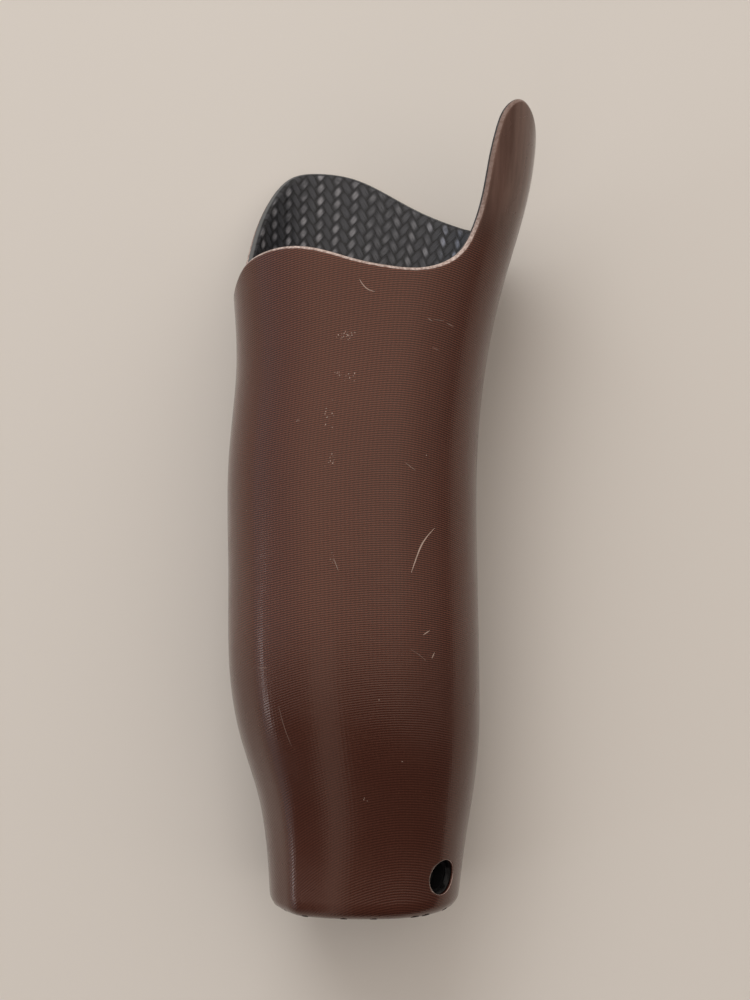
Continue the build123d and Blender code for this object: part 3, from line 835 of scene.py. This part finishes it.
def braided_carbon(name, tow=None):
    """The braid in colour and relief, with painted glints, on its UV map or on a flat lattice of that tow
    width.
    """
    carbon = Finish(name, Coat_Weight=0.12, Coat_Roughness=0.15, Metallic=0.35, IOR=1.5,
                    Anisotropic=0.75)
    place = carbon.parts(carbon.place())
    if tow is None:
        around, length = carbon.pattern()
    else:
        around, length = (carbon.times(place[axis], 1 / tow) for axis in (0, 2))
    one, two = carbon.math("ADD", around, length), carbon.math("SUBTRACT", around, length)
    floors = carbon.math("ADD", carbon.math("FLOOR", one), carbon.math("FLOOR", two))
    step = carbon.math("FLOORED_MODULO", floors, 4.0)
    second_up = carbon.math("GREATER_THAN", step, 1.5)

    def either(first, second):
        """One value where the first tow is on top, and another where the second is."""
        made = carbon.node("Mix")
        for index, value in ((0, second_up), (2, first), (3, second)):
            carbon.put(made.inputs[index], value)
        return made.outputs[0]

    one_part, two_part = carbon.math("FRACT", one), carbon.math("FRACT", two)
    across = carbon.math("SUBTRACT", either(one_part, two_part), 0.5)
    along_float = carbon.math("ADD", either(two_part, one_part), carbon.math("MODULO", step, 2.0))
    edge = carbon.math("POWER", carbon.math("ABSOLUTE", carbon.times(across, 2.0)), 3.0)
    crown = carbon.math("SQRT", carbon.math("SUBTRACT", 1.0, edge))
    arch = carbon.math("SINE", carbon.times(along_float, math.pi / 2))
    height = carbon.times(crown, carbon.math("SQRT", arch))
    fibres = carbon.node("CombineXYZ", {0: carbon.times(across, STREAKS_ACROSS),
                                        1: carbon.times(along_float, STREAKS_ALONG), 2: floors})
    streak = carbon.node("TexNoise", {"Vector": fibres.outputs[0], "Scale": 1.0}).outputs["Fac"]
    # Crowns lighter and gaps darker: partly the tows and resin, partly painted sheen and shade.
    black = carbon.mix(carbon.ramp(height, 0.3, 0.95), srgb(10, 10, 11), srgb(50, 51, 54))
    black = carbon.mix(carbon.ramp(streak, 0.4, 0.75, (0.0, 0.35)), black, srgb(84, 86, 94))
    # Painted glints: bright cores on the tow crowns, one tow direction to the left and the other to the
    # right, cooler in tint to the right.
    aside = carbon.ramp(place[0], *GLINT_SIDES)
    side = carbon.math("POWER", either(carbon.math("SUBTRACT", 1.0, aside), aside), 1.6)
    uneven = carbon.ramp(carbon.noise(160, 3), 0.32, 0.68, (0.08, 1.0))
    sanded_or_hole_shade = carbon.attribute("sanded")
    # cut: the button hole's walls, near black and rougher, partly the cut carbon's own dark and partly
    # painted shade in the hole.
    sanded, cut = carbon.math("MAXIMUM", sanded_or_hole_shade, 0.0), carbon.ramp(sanded_or_hole_shade, 0.0, -0.5)
    glint = carbon.times(carbon.ramp(height, 0.66, 1.04), side, uneven,
                         carbon.ramp(streak, 0.25, 0.6, (0.45, 1.0)), carbon.ramp(sanded_or_hole_shade, 0.4, 0.0))
    from_side = carbon.ramp(place[0], *COOL_GLINT_SIDE)
    painted_glint_colour = carbon.mix(from_side, srgb(138, 137, 140), srgb(142, 148, 164))
    black = carbon.mix(glint, black, painted_glint_colour)
    black = carbon.mix(cut, black, srgb(8, 8, 9))
    rough = carbon.math("MULTIPLY_ADD", cut, 0.35, carbon.ramp(streak, 0.3, 0.7, (0.26, 0.36)))
    band = carbon.times(carbon.ramp(sanded_or_hole_shade, 0.7, 1.0, (0.0, 0.7)),
                        carbon.math("MULTIPLY_ADD", from_side, -0.9, 1.0))
    black = carbon.mix(band, black, srgb(112, 113, 112))
    rough = carbon.math("MULTIPLY_ADD", sanded, 0.3, rough)
    relief = carbon.bump(streak, FIBRE_RELIEF, normal=carbon.bump(height, CROWN_RELIEF))
    if tow is None:
        tangent = carbon.node("Tangent", direction_type="UV_MAP", uv_map="pattern").outputs[0]
        carbon.set(Tangent=tangent, Anisotropic_Rotation=either(*FIBRE_TURNS))
    return carbon.set(Base_Color=black, Roughness=rough, Normal=relief)


# %% [markdown]
# The wrist's parts are turned, pressed or moulded. Turned faces carry fine rings round the
# wrist's axis, which runs along Y, so their relief is noise of the distance from that axis.
# Pressed and moulded parts have a grain with no direction.

# %% Metals
METAL_RINGS, PLASTIC_RINGS = 7000.0, 5000.0


def metal(name, colour, roughness, rings=0.0, grain=0.004):
    """Metal with a fine grain, and turned rings where they are given, heights in millimetres."""
    made = Finish(name, Metallic=1.0)
    cloud = made.noise(90, 3)
    made.set(Base_Color=made.mix(cloud, colour, tuple(0.82 * c for c in colour[:3]) + (1.0,)))
    streak = made.noise(2600, 2)
    relief = made.bump(streak, grain * MM)
    if rings:
        cut = made.rings(METAL_RINGS)
        relief = made.bump(cut, rings * MM, normal=relief)
        streak = made.math("MULTIPLY_ADD", cut, 0.5, made.times(streak, 0.5))
    return made.set(Roughness=made.ramp(streak, 0.25, 0.75, (roughness - 0.06, roughness + 0.08)),
                    Normal=relief)


# %% Plastics and rubber


def moulded(name, dark, light, roughness, grain, size, rings=0.0):
    """Plastic or rubber: two close colours, a grain of that height and size, and turned rings."""
    made = Finish(name, IOR=1.5)
    cloud, speck = made.noise(60, 3), made.noise(1 / (size * MM), 2)
    colour = made.mix(made.ramp(cloud, 0.35, 0.65), dark, light)
    relief = made.bump(speck, grain * MM)
    if rings:
        relief = made.bump(made.rings(PLASTIC_RINGS), rings * MM, normal=relief)
    rough = made.ramp(speck, 0.3, 0.7, (roughness - 0.05, roughness + 0.06))
    return made.set(Base_Color=colour, Roughness=rough, Normal=relief)


# %% [markdown]
# The foam that carries the wrist unit is cut through its closed cells, which shows as pale
# walls between small pits. Round the button's bore it is painted black as the shade inside
# the hole, so the hole in the shell looks dark all through.

# %% Foam
HOLE_SHADE_REACH = (10 * MM, 12 * MM)
FOAM_CELLS, PIT_DEPTH = 1600.0, 0.2 * MM


def foam(name):
    """Cut foam with cells as pits, painted black as shade up to a distance from the button's axis."""
    made = Finish(name, Roughness=0.9)
    place = made.place()
    cell = made.node("TexVoronoi", {"Vector": place, "Scale": FOAM_CELLS}).outputs["Distance"]
    colour = made.mix(made.ramp(cell, 0.1, 0.6), srgb(150, 118, 72), srgb(222, 198, 150))
    reach = made.node("VectorMath", {0: place, 1: (0.0, HATCH_ALONG, 0.0)}, operation="SUBTRACT")
    beside = made.node("VectorMath", {0: reach.outputs[0], 1: BUTTON_WAY}, operation="CROSS_PRODUCT")
    beyond_hole_shade = made.ramp(made.length(beside.outputs[0]), *HOLE_SHADE_REACH)
    # Painted shade: black near the button's axis, where the bore lies in shade.
    colour = made.mix(beyond_hole_shade, srgb(14, 12, 11), colour)
    return made.set(Base_Color=colour, Normal=made.bump(cell, PIT_DEPTH))


# %% One finish to each of the record's slots
FINISHES = {
    "brown_laminate": knitted_laminate(),
    "carbon_braid": braided_carbon("black_braided_carbon"),
    "rigid_foam": foam("cut_foam"),
    "anodised_aluminium": metal("anodised_turned_aluminium", srgb(172, 174, 178), 0.34, rings=0.006),
    "steel": metal("bright_steel", srgb(158, 158, 160), 0.26),
    "spring_steel": metal("blued_spring_steel", srgb(104, 108, 118), 0.3),
    "bronze": metal("oiled_bronze", srgb(172, 124, 74), 0.36, grain=0.008),
    "nylon": moulded("natural_nylon", srgb(206, 200, 182), srgb(222, 217, 202), 0.42, 0.01, 0.3),
    "acetal": moulded("natural_acetal", srgb(220, 218, 210), srgb(232, 230, 224), 0.36, 0.004, 0.4,
                      rings=0.006),
    "black_plastic": moulded("black_grained_plastic", srgb(15, 15, 16), srgb(24, 24, 25), 0.44, 0.012, 0.22),
    "rubber": moulded("black_rubber", srgb(14, 14, 14), srgb(30, 29, 28), 0.72, 0.01, 0.12),
}
deep_braid = braided_carbon("deep_braided_carbon", DEEP_TOW)
shell.data.materials.append(FINISHES["brown_laminate"])
lining.data.materials.append(FINISHES["carbon_braid"])
for name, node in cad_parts.items():
    for place in node.material_slots:
        place.material = deep_braid if name == "end_cup" else FINISHES[place.material.name]
print(len(FINISHES), "finishes on", len(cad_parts), "nodes")

# %% [markdown]
# ## Wear
# A socket is knocked about and ground to fit. Each kind of mark is one small flat shape, and
# a tree of geometry nodes lays a copy of it at every point, turned to the surface by the
# point's own attributes and a little uneven in size. Points come from turns and places
# along, so the marks sit on the form.

# %% Nodes that lay marks


def lay_marks_tree():
    """A tree that puts one turned and sized copy of a mark at each point."""
    tree = bpy.data.node_groups.new("lay_marks", "GeometryNodeTree")
    ends = (("Points", "Geometry"), ("Mark", "Object"), ("Finish", "Material"),
            ("Least", "Float"), ("Most", "Float"), ("Seed", "Int"))
    for label, kind in ends:
        tree.interface.new_socket(label, in_out="INPUT", socket_type="NodeSocket" + kind)
    tree.interface.new_socket("Marks", in_out="OUTPUT", socket_type="NodeSocketGeometry")

    node = Nodes(tree, prefix="").node
    given = node("NodeGroupInput").outputs
    kept = {"facing": "FLOAT_VECTOR", "lay": "FLOAT_VECTOR", "span": "FLOAT"}
    facing, lay, span = (node("GeometryNodeInputNamedAttribute", {"Name": label},
                              data_type=kind).outputs[0] for label, kind in kept.items())
    upright = node("FunctionNodeAlignRotationToVector", {"Vector": facing}, axis="Z")
    turned = node("FunctionNodeAlignRotationToVector",
                  {"Rotation": upright.outputs[0], "Vector": lay}, axis="X", pivot_axis="Z")
    uneven = node("FunctionNodeRandomValue", {2: given["Least"], 3: given["Most"],
                                              "Seed": given["Seed"]}, data_type="FLOAT")
    size = node("ShaderNodeMath", {0: span, 1: uneven.outputs[1]}, operation="MULTIPLY")
    mark = node("GeometryNodeObjectInfo", {"Object": given["Mark"]})
    laid = node("GeometryNodeInstanceOnPoints", {
        "Points": given["Points"], "Instance": mark.outputs["Geometry"],
        "Rotation": turned.outputs[0], "Scale": size.outputs[0]})
    real = node("GeometryNodeRealizeInstances", {"Geometry": laid.outputs[0]})
    done = node("GeometryNodeSetMaterial", {"Geometry": real.outputs[0], "Material": given["Finish"]})
    tree.links.new(done.outputs[0], node("NodeGroupOutput").inputs[0])
    return tree


LAY_MARKS = lay_marks_tree()
print("inputs:", [s.name for s in LAY_MARKS.interface.items_tree if s.in_out == "INPUT"])

# %% Marks and their places
LIFT = 0.03 * MM


def flat_shape(name, outline):
    """A mark: a flat outline one unit long, that isn't shown itself."""
    mesh = bpy.data.meshes.new(name)
    mesh.from_pydata([(x, y, 0.0) for x, y in outline], [], [tuple(range(len(outline)))])
    return bpy.data.objects.new(name, mesh)


def surface_at(turn, along):
    """Points, outward directions, and directions round and along the arm at places."""
    around, length = slopes_of(turn, along)
    facing = unit(np.cross(around, length))
    return form(turn, along) + LIFT * facing, facing, unit(around), unit(length)


def corner_at(turn, bend):
    """Points, outward directions and directions round the arm, at angles round the end's edge."""
    _, facing, around, _ = surface_at(turn, np.full_like(turn, WRIST_CORNER))
    out = np.cos(bend)[:, None] * facing + np.sin(bend)[:, None] * np.array([0, -1, 0])
    place = form(turn, WRIST_CORNER * (1 - np.sin(bend)), WRIST_CORNER * (1 - np.cos(bend)))
    return place + LIFT * out, out, around


def lay_marks(name, points, facing, lay, span, mark, finish, least, most, seed):
    """Runs the tree over points with attributes, and keeps the result as a plain mesh."""
    mesh = bpy.data.meshes.new(name)
    mesh.from_pydata(points.tolist(), [], [])
    for label, values in (("facing", facing), ("lay", lay), ("span", span)):
        keep_at_points(mesh, label, values)
    host = show(name + "_points", mesh)
    nodes = host.modifiers.new("lay_marks", "NODES")
    nodes.node_group = LAY_MARKS
    given = {"Mark": mark, "Finish": finish, "Least": least, "Most": most, "Seed": seed}
    for socket in LAY_MARKS.interface.items_tree:
        if socket.name in given:
            nodes[socket.identifier] = given[socket.name]
    evaluated = host.evaluated_get(bpy.context.evaluated_depsgraph_get())
    plain = bpy.data.meshes.new_from_object(evaluated)
    host.modifiers.clear()
    bpy.data.objects.remove(host)
    print(name, len(points), "marks,", len(plain.polygons), "faces")
    return show(name, plain)


# %% [markdown]
# Where the wrist's edge was ground round, the grinder went through the brown skin at the
# crowns of the braid below it. Each spot shows as a dark lens as long as a tow is wide. The
# spots lie near the face at the top and the underside, and higher up the wall at the sides.

# %% Ground-through spots on the wrist's edge
LENS_CORNERS, LENS_WIDTH = 14, 0.68
lens_steps = np.linspace(0, 2 * np.pi, LENS_CORNERS, endpoint=False)
lens = flat_shape("lens", np.stack([np.cos(lens_steps), LENS_WIDTH * np.sin(lens_steps)], -1) / 2)
# (degrees round, millimetres long)
GROUND_SPOTS = np.array([
    (-35, 2.4), (-9, 2.6), (4.5, 2.6), (30, 3.0), (39, 3.2), (59, 3.4), (70, 2.6), (96, 2.2),
    (121, 2.8), (139, 2.4), (171, 2.6), (188, 3.0), (214, 2.2), (236, 2.8), (259, 2.4), (287, 2.6),
    (304, 2.2),
])
SPOT_TILT, LEAST_TILT = 2.6, 1.1
spot_turns = np.radians(GROUND_SPOTS[:, 0])
spot_bends = np.arctan(np.maximum(SPOT_TILT * np.abs(np.cos(spot_turns)), LEAST_TILT))
dark_spot = Finish("ground_carbon", IOR=1.5, Specular_IOR_Level=0.12)
dark_spot.set(Base_Color=dark_spot.mix(dark_spot.noise(900, 3), srgb(16, 11, 10), srgb(46, 38, 36)),
              Roughness=dark_spot.ramp(dark_spot.noise(1500, 2), 0.3, 0.7, (0.5, 0.7)))
spots = lay_marks("ground_spots", *corner_at(spot_turns, spot_bends), GROUND_SPOTS[:, 1] * MM, lens,
                  dark_spot.material, least=0.85, most=1.15, seed=3)

# %% [markdown]
# Knocks have whitened the resin in small clusters along the front, and a few single nicks
# sit lower down. Every cluster is a seeded cloud of places, long or round as its knock was.

# %% Scuffs and nicks
# (degrees round, along, spread across, spread along in millimetres, flecks)
SCUFFS = np.array([
    (-6.6, 212.6, 3.0, 1.8, 26), (-8.2, 199.0, 1.2, 1.0, 7), (-4.5, 197.5, 4.0, 1.6, 12),
    (-10.9, 183.7, 2.2, 4.5, 14), (-7.9, 168.4, 2.0, 3.5, 12), (-7.0, 133.0, 1.0, 2.2, 7),
    (-0.5, 45.8, 1.4, 0.8, 5), (-23.8, 182.1, 0.8, 1.2, 4), (118, 96.0, 2.4, 3.0, 12),
    (196, 150.0, 4.0, 5.0, 22), (171, 61.0, 3.0, 2.0, 12), (247, 205.0, 2.0, 4.0, 12),
    (-68, 118.0, 1.4, 3.0, 8), (84, 262.0, 2.0, 3.0, 10),
])
NICKS = np.array([
    (9.8, 82.7), (-70.0, 72.9), (-48.0, 71.7), (-2.9, 213.4), (45.4, 94.2), (33, 170), (-52, 150),
    (64, 120), (140, 190), (205, 80), (232, 120), (160, 240), (88, 60), (-30, 222), (18, 60),
])
FLECK_SIZE = 0.42 * MM
ARM_RADIUS = 50 * MM
fleck = flat_shape("fleck", [(-0.5, -0.1), (-0.1, -0.28), (0.3, -0.2), (0.5, 0.08), (0.1, 0.3), (-0.35, 0.2)])
chance = np.random.default_rng(11)
turns, alongs = [], []
for turn, along, across, length, count in SCUFFS:
    off = chance.normal(0, 0.5, (int(count), 2)) * (across, length)
    turns.extend(math.radians(turn) + off[:, 0] * MM / ARM_RADIUS)
    alongs.extend((along + off[:, 1]) * MM)
turns = np.append(turns, np.radians(NICKS[:, 0]))
alongs = np.append(alongs, NICKS[:, 1] * MM)
place, facing, around, length = surface_at(turns, alongs)
lean = chance.uniform(0, np.pi, len(turns))
lay = np.cos(lean)[:, None] * around + np.sin(lean)[:, None] * length
white_resin = Finish("whitened_resin", IOR=1.5)
white_resin.set(Base_Color=white_resin.mix(white_resin.attribute("fresh"), srgb(84, 56, 46),
                                           srgb(190, 168, 154)),
                Roughness=white_resin.ramp(white_resin.noise(900, 2), 0.3, 0.7, (0.5, 0.75)))
flecks = lay_marks("scuffs", place, facing, lay, np.full(len(turns), FLECK_SIZE), fleck,
                   white_resin.material, least=0.5, most=1.5, seed=5)
shades = chance.uniform(0.1, 0.75, len(turns))
keep_at_points(flecks.data, "fresh", np.repeat(shades, len(flecks.data.vertices) // len(turns)))

# %% [markdown]
# The longer scratches are thin ribbons on the form, widest in the middle and drawn out to
# nothing at their ends. They are given by a few places each and smoothed between them.

# %% Scratches
# width in millimetres, how white, then (degrees round, along) places
SCRATCHES = [
    (0.46, 0.75, [(25.4, 128.0), (29.0, 135.0), (32.7, 139.9), (38.2, 143.9)]),
    (0.26, 0.40, [(27.5, 131.5), (29.6, 136.6), (31.6, 139.4)]),
    (0.36, 0.50, [(-2.6, 232.4), (-0.8, 230.0), (1.2, 228.6), (3.4, 228.0)]),
    (0.26, 0.35, [(26.4, 219.0), (28.8, 218.0)]),
    (0.22, 0.20, [(29.5, 218.6), (35.0, 218.3)]),
    (0.28, 0.25, [(36.4, 217.6), (40.6, 216.4)]),
    (0.22, 0.15, [(30.4, 208.6), (34.6, 207.7)]),
    (0.22, 0.30, [(22.6, 167.3), (25.0, 165.9), (27.9, 164.4)]),
    (0.42, 0.55, [(30.9, 105.6), (34.4, 107.1)]),
    (0.40, 0.55, [(35.2, 96.9), (36.8, 99.1)]),
    (0.20, 0.15, [(24.4, 100.6), (28.5, 98.6), (32.4, 96.0)]),
    (0.22, 0.40, [(-6.8, 133.2), (-5.0, 128.8)]),
    (0.20, 0.15, [(-33.9, 79.8), (-32.4, 72.0), (-30.2, 65.0)]),
    (0.22, 0.25, [(-44.4, 93.2), (-38.4, 93.5)]),
    (0.30, 0.50, [(112, 134.0), (117, 141.0), (125, 146.5)]),
    (0.26, 0.30, [(158, 118.0), (163, 112.0)]),
    (0.34, 0.60, [(201, 96.0), (209, 99.5), (215, 106.0)]),
    (0.28, 0.35, [(182, 201.0), (188, 190.0)]),
    (0.26, 0.30, [(262, 158.0), (268, 151.0), (271, 142.0)]),
    (0.24, 0.25, [(-82, 189.0), (-79, 196.0)]),
    (0.30, 0.40, [(66, 78.0), (72, 84.0)]),
]
SCRATCH_STEP = 0.4 * MM
SCRATCH_ENDS = (0.06, 0.97)


def ribbon(width, places):
    """Rows of left and right points along a scratch, tapered to both ends."""
    turn, along = np.radians([p[0] for p in places]), np.array([p[1] for p in places]) * MM
    track = np.stack([turn, along], -1)
    run = np.append(0, np.cumsum(np.linalg.norm(np.diff(form(turn, along), axis=0), axis=-1)))
    count = max(4, round(run[-1] / SCRATCH_STEP))
    at = np.linspace(0, run[-1], count)
    turn, along = cubic(run, track, smooth_through(run, track), at).T
    middle, facing, _, _ = surface_at(turn, along)
    side = unit(np.cross(facing, np.gradient(middle, axis=0)))
    half = width * MM / 2 * np.sin(np.pi * np.linspace(*SCRATCH_ENDS, count))[:, None]**0.7
    return middle - half * side, middle + half * side


points, faces, shades = [], [], []
for width, fresh, places in SCRATCHES:
    start = len(points)
    left, right = ribbon(width, places)
    points.extend(left.tolist() + right.tolist())
    count = len(left)
    shades.extend([fresh] * 2 * count)
    for i in range(start, start + count - 1):
        faces.append((i, i + count, i + count + 1, i + 1))
scratch_mesh = bpy.data.meshes.new("scratches")
scratch_mesh.from_pydata(points, [], faces)
scratch_mesh.materials.append(white_resin.material)
keep_at_points(scratch_mesh, "fresh", shades)
scratches = show("scratches", scratch_mesh)
print(len(SCRATCHES), "scratches,", len(faces), "quads")

# %% [markdown]
# ## Putting the pieces on their bodies
# Each piece moves with a body of the frame, and hides the solid that it stands for, if any.

# %% Ride and replace


def settle(piece, body, slot, *solids):
    """Puts a piece on a body, in the place of these solids; the slot is not used."""
    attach(piece, body)
    if solids:
        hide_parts(*solids)


settle(shell, "socket", "brown_laminate", "outer_shell")
settle(lining, "socket", "carbon_braid", "carbon_frame")
settle(spots, "socket", "carbon_braid")
settle(flecks, "socket", "brown_laminate")
settle(scratches, "socket", "brown_laminate")

# %% [markdown]
# The two latch springs are pressed shorter as the release slides in. A copy of them stays
# on the socket in place of the solid. The copy's loose triangles are welded, and its round
# wires and flat ends are told apart by angle.

# %% Latch springs
SHARP_ANGLE, WELD = math.radians(35), 0.001 * MM
coils_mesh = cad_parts["latch_springs"].data.copy()
welded = bmesh.new()
welded.from_mesh(coils_mesh)
bmesh.ops.remove_doubles(welded, verts=welded.verts, dist=WELD)
welded.to_mesh(coils_mesh)
welded.free()
coils_mesh.attributes.remove(coils_mesh.attributes["custom_normal"])
coils_mesh.set_sharp_from_angle(angle=SHARP_ANGLE)
coils = show("latch_coils", coils_mesh)
settle(coils, "socket", "spring_steel", "latch_springs")
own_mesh(coils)

# %% [markdown]
# ## Floor, light and camera
# The socket lies on a pale plain floor and is seen from straight above. A wide soft panel
# above its upper left lights the body, and the room's even light fills the rest.

# %% Floor
FLOOR_COLOUR = srgb(203, 197, 189)
FLOOR_REACH, FLOOR_GAP = 3.0, 0.1 * MM
floor_level = CAD_BOX[0].z - FLOOR_GAP
corners = [(x * FLOOR_REACH, y * FLOOR_REACH) for x, y in ((-1, -1), (1, -1), (1, 1), (-1, 1))]
floor_mesh = bpy.data.meshes.new("floor")
floor_mesh.from_pydata([(x, y, floor_level) for x, y in corners], [], [(0, 1, 2, 3)])
floor_mesh.materials.append(Finish("pale_floor", Base_Color=FLOOR_COLOUR, Roughness=0.7).material)
floor = show("floor", floor_mesh)
print("floor at", round(floor_level / MM, 2), "mm")

# %% Light
PANEL_PLACE, PANEL_SIZE = Vector((-0.5, 2.0, 1.5)), (1.6, 1.2)
PANEL_POWER, PANEL_COLOUR = 30.0, (0.96, 0.98, 1.0)
lamp = bpy.data.lights.new("window_panel", "AREA")
lamp.shape, lamp.size, lamp.size_y = "RECTANGLE", *PANEL_SIZE
lamp.energy, lamp.color = PANEL_POWER, PANEL_COLOUR
panel = show("window_panel", lamp)
panel.location = PANEL_PLACE
aim = (CAD_BOX[0] + CAD_BOX[1]) / 2 - PANEL_PLACE
panel.rotation_euler = aim.to_track_quat("-Z", "Y").to_euler()
panel.visible_glossy = False
print("panel", round(aim.length, 2), "m from the socket")

# %% [markdown]
# The room is a soft one: a pale ceiling overhead and to the left, darker beyond the wrist,
# where the viewer stands, and darker to the right. It is a smooth change over the
# directions of the world, so it lights the object evenly and still gives the coat
# something to reflect. A tall window to the left leaves a long soft strip on the coat, and
# the pale floor's far edge shows low on that side, with one small bright pane above it.

# %% Room
ROOM_DARK, ROOM_CEILING = (0.10, 0.08, 0.07, 1), (1.14, 1.05, 0.98, 1)
ROOM_WINDOW, ROOM_LOW, ROOM_PANE = (0.7, 0.7, 0.74, 1), (0.6, 0.67, 0.74, 1), (4.6, 4.9, 5.3, 1)
STRIP_SHARE, LOW_SHARE = 0.52, 0.9
# (low, high, softness) of the parts of a direction
STRIP_ACROSS, PANE_ALONG, PANE_UP = (-0.44, -0.20, 0.09), (-0.31, -0.22, 0.03), (0.20, 0.33, 0.03)
world = bpy.data.worlds.new("room")
bpy.context.scene.world = world
world.use_nodes = True
room = Nodes(world.node_tree)
way = room.parts(room.node("TexCoord").outputs["Generated"])


def between(value, low, high, soft):
    """1 between two values, and a smooth fall to 0 beyond them."""
    return room.times(room.ramp(value, low - soft, low), room.ramp(value, high + soft, high))


# %% Parts of the room, by their directions
from_foot = room.ramp(way[1], -0.35, -0.19)
from_right = room.ramp(way[0], 0.95, 0.45, (0.45, 1.0))
from_floor = room.ramp(way[2], 0.05, 0.45, (0.35, 1.0))
ceiling = room.times(from_foot, from_right, from_floor)
strip = room.times(between(way[0], *STRIP_ACROSS), STRIP_SHARE)
window = room.times(room.ramp(way[0], -0.45, -0.95), from_foot)
low_left = room.times(room.ramp(way[0], -0.6, -0.85), room.ramp(way[2], 0.43, 0.35), LOW_SHARE)
pane = room.times(between(way[1], *PANE_ALONG), between(way[2], *PANE_UP), room.ramp(way[0], -0.6, -0.8))
colour = room.mix(room.math("MAXIMUM", ceiling, strip), ROOM_DARK, ROOM_CEILING)
for share, lit in ((window, ROOM_WINDOW), (low_left, ROOM_LOW), (pane, ROOM_PANE)):
    colour = room.mix(share, colour, lit)
room.put(world.node_tree.nodes["Background"].inputs[0], colour)
print("room of", len(world.node_tree.nodes), "nodes")

# %% Camera
CAMERA_PLACE = (4.2 * MM, 153.9 * MM, 654 * MM)
CAMERA_LENS, CAMERA_SENSOR, CAMERA_CLIP = 61.2, 36.0, (0.01, 20)
camera_data = bpy.data.cameras.new("camera")
camera_data.lens, camera_data.sensor_width = CAMERA_LENS, CAMERA_SENSOR
camera_data.clip_start, camera_data.clip_end = CAMERA_CLIP
camera = show("camera", camera_data)
camera.location = CAMERA_PLACE
bpy.context.scene.camera = camera
bpy.context.scene.view_settings.view_transform = "Standard"

print("cad box", [[round(v / MM, 1) for v in c] for c in CAD_BOX])
